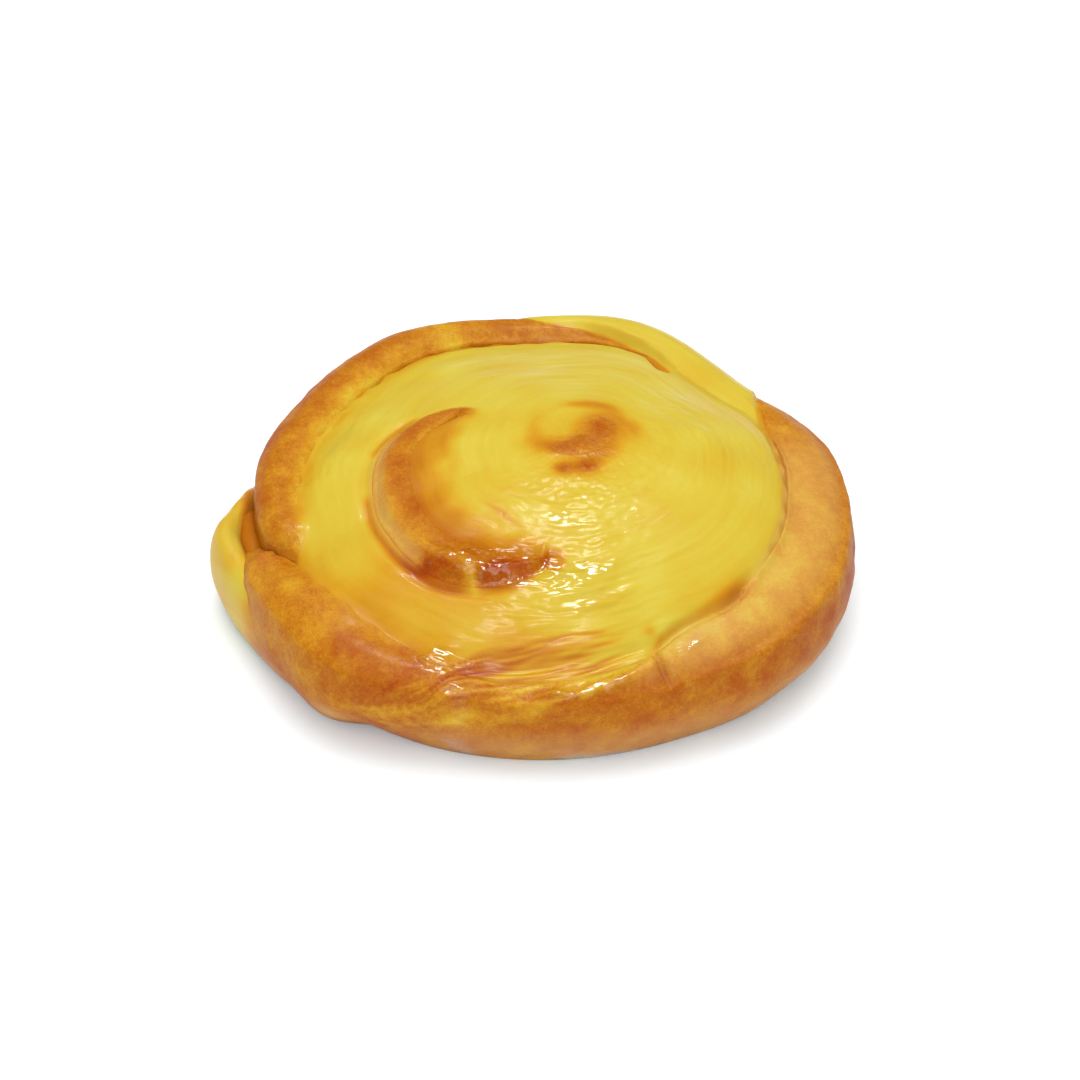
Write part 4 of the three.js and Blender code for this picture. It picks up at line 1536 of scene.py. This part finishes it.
@dataclass(frozen=True)
class Baked:
    """A baked surface coloured by how far each place has browned, shade and highlight painted in.
    """

    name: str
    mottle: float  # how much the browning varies
    mottle_size: float  # millimetres
    roughness: float
    specular: float  # strength of the reflection under the glaze
    glaze: float  # weight of the coat of egg glaze
    glaze_roughness: float
    subsurface: float
    pale: str
    grain: float  # height of the fine bumps, in millimetres
    grain_size: float
    blister: float  # height of the blisters in the wet glaze, in millimetres
    blister_size: float
    blister_run: float  # the blisters are as long as they are wide where this is 0.4 radius
    swirled: bool  # whether streaks and ridges run along the winding
    ior: float = 1.45
    coat_ior: float = 1.6
    scatter_depth: float = 1.2  # how far light goes in, in millimetres
    scatter: tuple[float, float, float] = (1.0, 0.55, 0.2)  # red, green and blue of it

    def noise(
        self, tree: bpy.types.NodeTree, coordinate: bpy.types.NodeSocket, size: float, detail: float
    ) -> bpy.types.NodeSocket:
        """A cloudy pattern.

        Args:
            tree: the material's nodes.
            coordinate: places in millimetres.
            size: the size of its features, in millimetres.
            detail: how many finer patterns are added to it.

        Returns:
            Its strength, from 0 to 1.
        """
        node = add_node(
            tree,
            "ShaderNodeTexNoise",
            {"noise_dimensions": "3D"},
            {"Scale": 1.0 / size, "Detail": detail, "Roughness": 0.55},
            {"Vector": coordinate},
        )
        return node.outputs["Fac"]

    def maths(
        self,
        tree: bpy.types.NodeTree,
        operation: str,
        first: bpy.types.NodeSocket,
        second: bpy.types.NodeSocket | float,
        third: float | bpy.types.NodeSocket = 0.0,
        clamp: bool = False,
    ) -> bpy.types.NodeSocket:
        """One step of arithmetic.

        Args:
            tree: the material's nodes.
            operation: what is done.
            first: the first value.
            second: the second value, a socket or a number.
            third: the third one, where the step has three.
            clamp: whether the result is kept between 0 and 1.

        Returns:
            The result.
        """
        values = {i: v for i, v in ((1, second), (2, third)) if isinstance(v, (int, float))}
        links = {i: v for i, v in ((1, second), (2, third)) if not isinstance(v, (int, float))}
        links[0] = first
        node = add_node(
            tree, "ShaderNodeMath", {"operation": operation, "use_clamp": clamp}, values, links
        )
        return node.outputs[0]

    def material(self) -> bpy.types.Material:
        """The finish's nodes.

        Returns:
            The material: colour from the bake, a bump of pores, ridges and blisters, and a
            coat of glaze in wet patches.
        """
        made = bpy.data.materials.new(self.name)
        made.use_nodes = True
        tree = made.node_tree
        tree.nodes.clear()
        stored = {
            key: add_node(tree, "ShaderNodeAttribute", {"attribute_name": key}).outputs["Fac"]
            for key in ("bake", "pale", "wet")
        }
        place = add_node(tree, "ShaderNodeTexCoord").outputs["Object"]
        scaled = add_node(
            tree, "ShaderNodeVectorMath", {"operation": "SCALE"}, {"Scale": 1000.0}, {0: place}
        ).outputs[0]
        clouds = self.noise(tree, scaled, self.mottle_size, 4.0)
        off = self.maths(tree, "MULTIPLY_ADD", clouds, self.mottle, -1.3 * self.mottle)
        # Two finer patterns, as parts of the first one's size and strength. The 1.3 above is
        # half of the three strengths, so that they brighten as much as they darken.
        for size, strength, detail in ((0.22, 0.7, 3.0), (0.09, 0.9, 2.0)):
            pattern = self.noise(tree, scaled, self.mottle_size * size, detail)
            off = self.maths(tree, "MULTIPLY_ADD", pattern, strength * self.mottle, off)
        browned = self.maths(tree, "ADD", stored["bake"], off)
        swirl = add_node(tree, "ShaderNodeAttribute", {"attribute_name": "swirl"})
        winding_place = swirl.outputs["Vector"]
        if self.swirled:
            for size, depth in ((1.4, 0.16), (4.5, 0.16)):
                streak = self.noise(tree, winding_place, size, 2.0)
                streak = self.maths(tree, "MULTIPLY_ADD", streak, depth, -0.5 * depth)
                browned = self.maths(tree, "ADD", browned, streak)
        ramp = add_node(tree, "ShaderNodeValToRGB", None, None, {"Fac": browned})
        stops = ramp.color_ramp.elements
        while len(stops) < len(BAKE_COLOURS):
            stops.new(0.5)
        for stop, (at, colour) in zip(stops, BAKE_COLOURS):
            stop.position = at
            stop.color = linear(colour)
        colour = add_node(
            tree,
            "ShaderNodeMix",
            {"data_type": "RGBA"},
            {7: linear(self.pale)},
            {0: stored["pale"], 6: ramp.outputs["Color"]},
        ).outputs[2]
        pores = self.noise(tree, scaled, self.grain_size, 3.0)
        height = self.maths(tree, "MULTIPLY", pores, self.grain * MM)
        if self.swirled:
            ridges = self.noise(tree, winding_place, 0.9, 2.0)
            height = self.maths(tree, "MULTIPLY_ADD", ridges, 0.06 * MM, height)
        drawn = add_node(
            tree,
            "ShaderNodeVectorMath",
            {"operation": "MULTIPLY"},
            {1: (self.blister_run, self.blister_run, 1.0)},
            {0: winding_place},
        ).outputs[0]
        blisters = self.noise(tree, drawn, self.blister_size, 1.0)
        raised = self.maths(tree, "MULTIPLY", blisters, stored["wet"])
        height = self.maths(tree, "MULTIPLY_ADD", raised, self.blister * MM, height)
        # The wetter a place is, the more of it the patches of glaze fill.
        patches = self.noise(tree, drawn, 2.2 * self.blister_size, 1.0)
        wetter = self.maths(tree, "MULTIPLY_ADD", stored["wet"], 2.0, -4.5)
        patches = self.maths(tree, "MULTIPLY_ADD", patches, 6.0, wetter, clamp=True)
        bump = add_node(
            tree, "ShaderNodeBump", None, {"Strength": 1.0, "Distance": 1.0}, {"Height": height}
        )
        rough = self.maths(tree, "MULTIPLY_ADD", clouds, 0.16, self.roughness - 0.08, clamp=True)
        rough = self.maths(tree, "MULTIPLY_ADD", stored["wet"], -0.15, rough)
        coat = self.maths(tree, "MULTIPLY", patches, stored["wet"])
        coat = self.maths(tree, "MULTIPLY_ADD", coat, 1.0 - self.glaze, self.glaze, clamp=True)
        shader = add_node(
            tree,
            "ShaderNodeBsdfPrincipled",
            None,
            {
                "IOR": self.ior,
                "Specular IOR Level": self.specular,
                "Subsurface Weight": self.subsurface,
                "Subsurface Radius": self.scatter,
                "Subsurface Scale": self.scatter_depth * MM,
                "Coat Roughness": self.glaze_roughness,
                "Coat IOR": self.coat_ior,
            },
            {
                "Base Color": colour,
                "Roughness": rough,
                "Coat Weight": coat,
                "Normal": bump.outputs["Normal"],
            },
        )
        tree.links.new(bump.outputs["Normal"], shader.inputs["Coat Normal"])
        add_node(
            tree, "ShaderNodeOutputMaterial", None, None, {"Surface": shader.outputs["BSDF"]}
        )
        return made


# Yeast dough crust, brushed with egg and baked: golden brown, mottled, with a thin gloss.
BAKED_CRUST = Baked(
    name="egg_glazed_crust",
    mottle=0.44,
    mottle_size=4.6,
    roughness=0.50,
    specular=0.09,
    glaze=0.03,
    glaze_roughness=0.09,
    subsurface=0.05,
    pale="#c9995c",
    grain=0.05,
    grain_size=0.7,
    blister=0.75,
    blister_size=1.8,
    blister_run=9.0,
    swirled=False,
)
# Custard cream, baked until its skin set: soft, glossy yellow with fine drawn-out ridges.
BAKED_CUSTARD = Baked(
    name="baked_custard",
    mottle=0.06,
    mottle_size=9.0,
    roughness=0.36,
    specular=0.11,
    glaze=0.04,
    glaze_roughness=0.10,
    subsurface=0.12,
    pale="#cdb16c",
    grain=0.02,
    grain_size=0.9,
    blister=1.25,
    blister_size=2.1,
    blister_run=4.8,
    swirled=True,
)


@dataclass(frozen=True)
class PaleTable:
    """A smooth white table, matt, so that only the soft shadow shows on it. Its own faint
    cool light takes the bun's warm reflection out of the shadow."""

    name: str = "matt_white_table"
    colour: str = "#fbfbfb"
    glow: str = "#00d7ff"
    glow_strength: float = 0.12

    def material(self) -> bpy.types.Material:
        """The table's finish.

        Returns:
            The material, a matt white with its own faint light.
        """
        made = bpy.data.materials.new(self.name)
        made.use_nodes = True
        shader = made.node_tree.nodes["Principled BSDF"]
        shader.inputs["Base Color"].default_value = linear(self.colour)
        shader.inputs["Roughness"].default_value = 0.9
        shader.inputs["Specular IOR Level"].default_value = 0.0
        shader.inputs["Emission Color"].default_value = linear(self.glow)
        shader.inputs["Emission Strength"].default_value = self.glow_strength
        return made


# ---------------------------------------------------------------- studio


@dataclass(frozen=True)
class Lamp:
    """A rectangular light: its place, width and depth in millimetres, its watts, whether it
    brightens surfaces and whether it is seen in reflections."""

    name: str
    place: tuple[float, float, float]
    width: float
    depth: float
    watts: float
    brightens: bool = True
    reflected: bool = True


@dataclass(frozen=True)
class Studio:
    """The table, the lights and the camera."""

    table_half: float = 4000.0
    aim: tuple[float, float, float] = (-0.2, -8.7, 14.0)
    elevation: float = 40.0
    distance: float = 449.3
    lens: float = 85.0
    shift: tuple[float, float] = (6.5 / PICTURE_WIDTH, -2.0 / PICTURE_WIDTH)
    # The softboxes overhead and behind only brighten, so that no white veil lies on the wet
    # glaze. The small lamps only make glints and cast no hard shadows.
    lamps: tuple[Lamp, ...] = (
        Lamp("overhead_softbox", (-10.0, -110.0, 1000.0), 1100.0, 1100.0, 4.6, reflected=False),
        Lamp("front_softbox", (-60.0, -820.0, 620.0), 900.0, 500.0, 2.8),
        Lamp("back_softbox", (0.0, 220.0, 800.0), 700.0, 600.0, 3.2, reflected=False),
        Lamp("glint_lamp", (0.0, 170.0, 600.0), 150.0, 100.0, 2.2, brightens=False),
        Lamp("front_glint_lamp", (-30.0, -230.0, 630.0), 150.0, 100.0, 1.8, brightens=False),
    )
    lamp_aim: tuple[float, float, float] = (0.0, 0.0, 10.0)
    sky: float = 0.52

    def table(self) -> None:
        """A flat sheet under the bun."""
        h = self.table_half
        mesh = bpy.data.meshes.new("table")
        corners = [(-h, -h, 0), (h, -h, 0), (h, h, 0), (-h, h, 0)]
        mesh.from_pydata([[c * MM for c in p] for p in corners], [], [(0, 1, 2, 3)])
        mesh.materials.append(PaleTable().material())
        made = bpy.data.objects.new("table", mesh)
        bpy.context.scene.collection.objects.link(made)

    def light(self, lamp: Lamp) -> None:
        """Puts up a light, turned to the bun.

        Args:
            lamp: the light.
        """
        data = bpy.data.lights.new(lamp.name, "AREA")
        data.shape = "RECTANGLE"
        data.size, data.size_y = lamp.width * MM, lamp.depth * MM
        data.energy = lamp.watts
        made = bpy.data.objects.new(lamp.name, data)
        bpy.context.scene.collection.objects.link(made)
        made.location = Vector(lamp.place) * MM
        ahead = (Vector(self.lamp_aim) - Vector(lamp.place)).normalized()
        made.rotation_euler = ahead.to_track_quat("-Z", "Y").to_euler()
        made.visible_diffuse = lamp.brightens
        made.visible_glossy = lamp.reflected

    def camera(self) -> None:
        """The camera in front of the bun, looking down at it."""
        e = math.radians(self.elevation)
        back = Vector((0.0, -math.cos(e), math.sin(e)))
        data = bpy.data.cameras.new("camera")
        data.lens = self.lens
        data.sensor_width = 36.0
        data.shift_x, data.shift_y = self.shift
        data.clip_start, data.clip_end = 0.01, 50.0
        made = bpy.data.objects.new("camera", data)
        bpy.context.scene.collection.objects.link(made)
        made.location = (Vector(self.aim) + back * self.distance) * MM
        made.rotation_euler = (-back).to_track_quat("-Z", "Y").to_euler()
        bpy.context.scene.camera = made

    def build(self) -> None:
        """Everything round the bun."""
        self.table()
        for lamp in self.lamps:
            self.light(lamp)
        world = bpy.data.worlds.new("studio")
        world.use_nodes = True
        sky = world.node_tree.nodes["Background"]
        sky.inputs["Color"].default_value = linear("#ffffff")
        sky.inputs["Strength"].default_value = self.sky
        # The sky brightens without lying on the wet glaze as a white veil.
        world.cycles_visibility.glossy = False
        bpy.context.scene.world = world
        bpy.context.scene.view_settings.view_transform = "Standard"
        self.camera()


def write_sizes() -> None:
    """Brings the scene's placements up to date."""
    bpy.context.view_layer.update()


def main() -> None:
    """Builds the bun and its studio."""
    crust = BAKED_CRUST.material()
    custard = BAKED_CUSTARD.material()
    DoughTurns().build().make(crust)
    CustardFilling().build().make(custard)
    LeftBulge().build().make(custard)
    Studio().build()
    write_sizes()


if __name__ == "__main__":
    main()
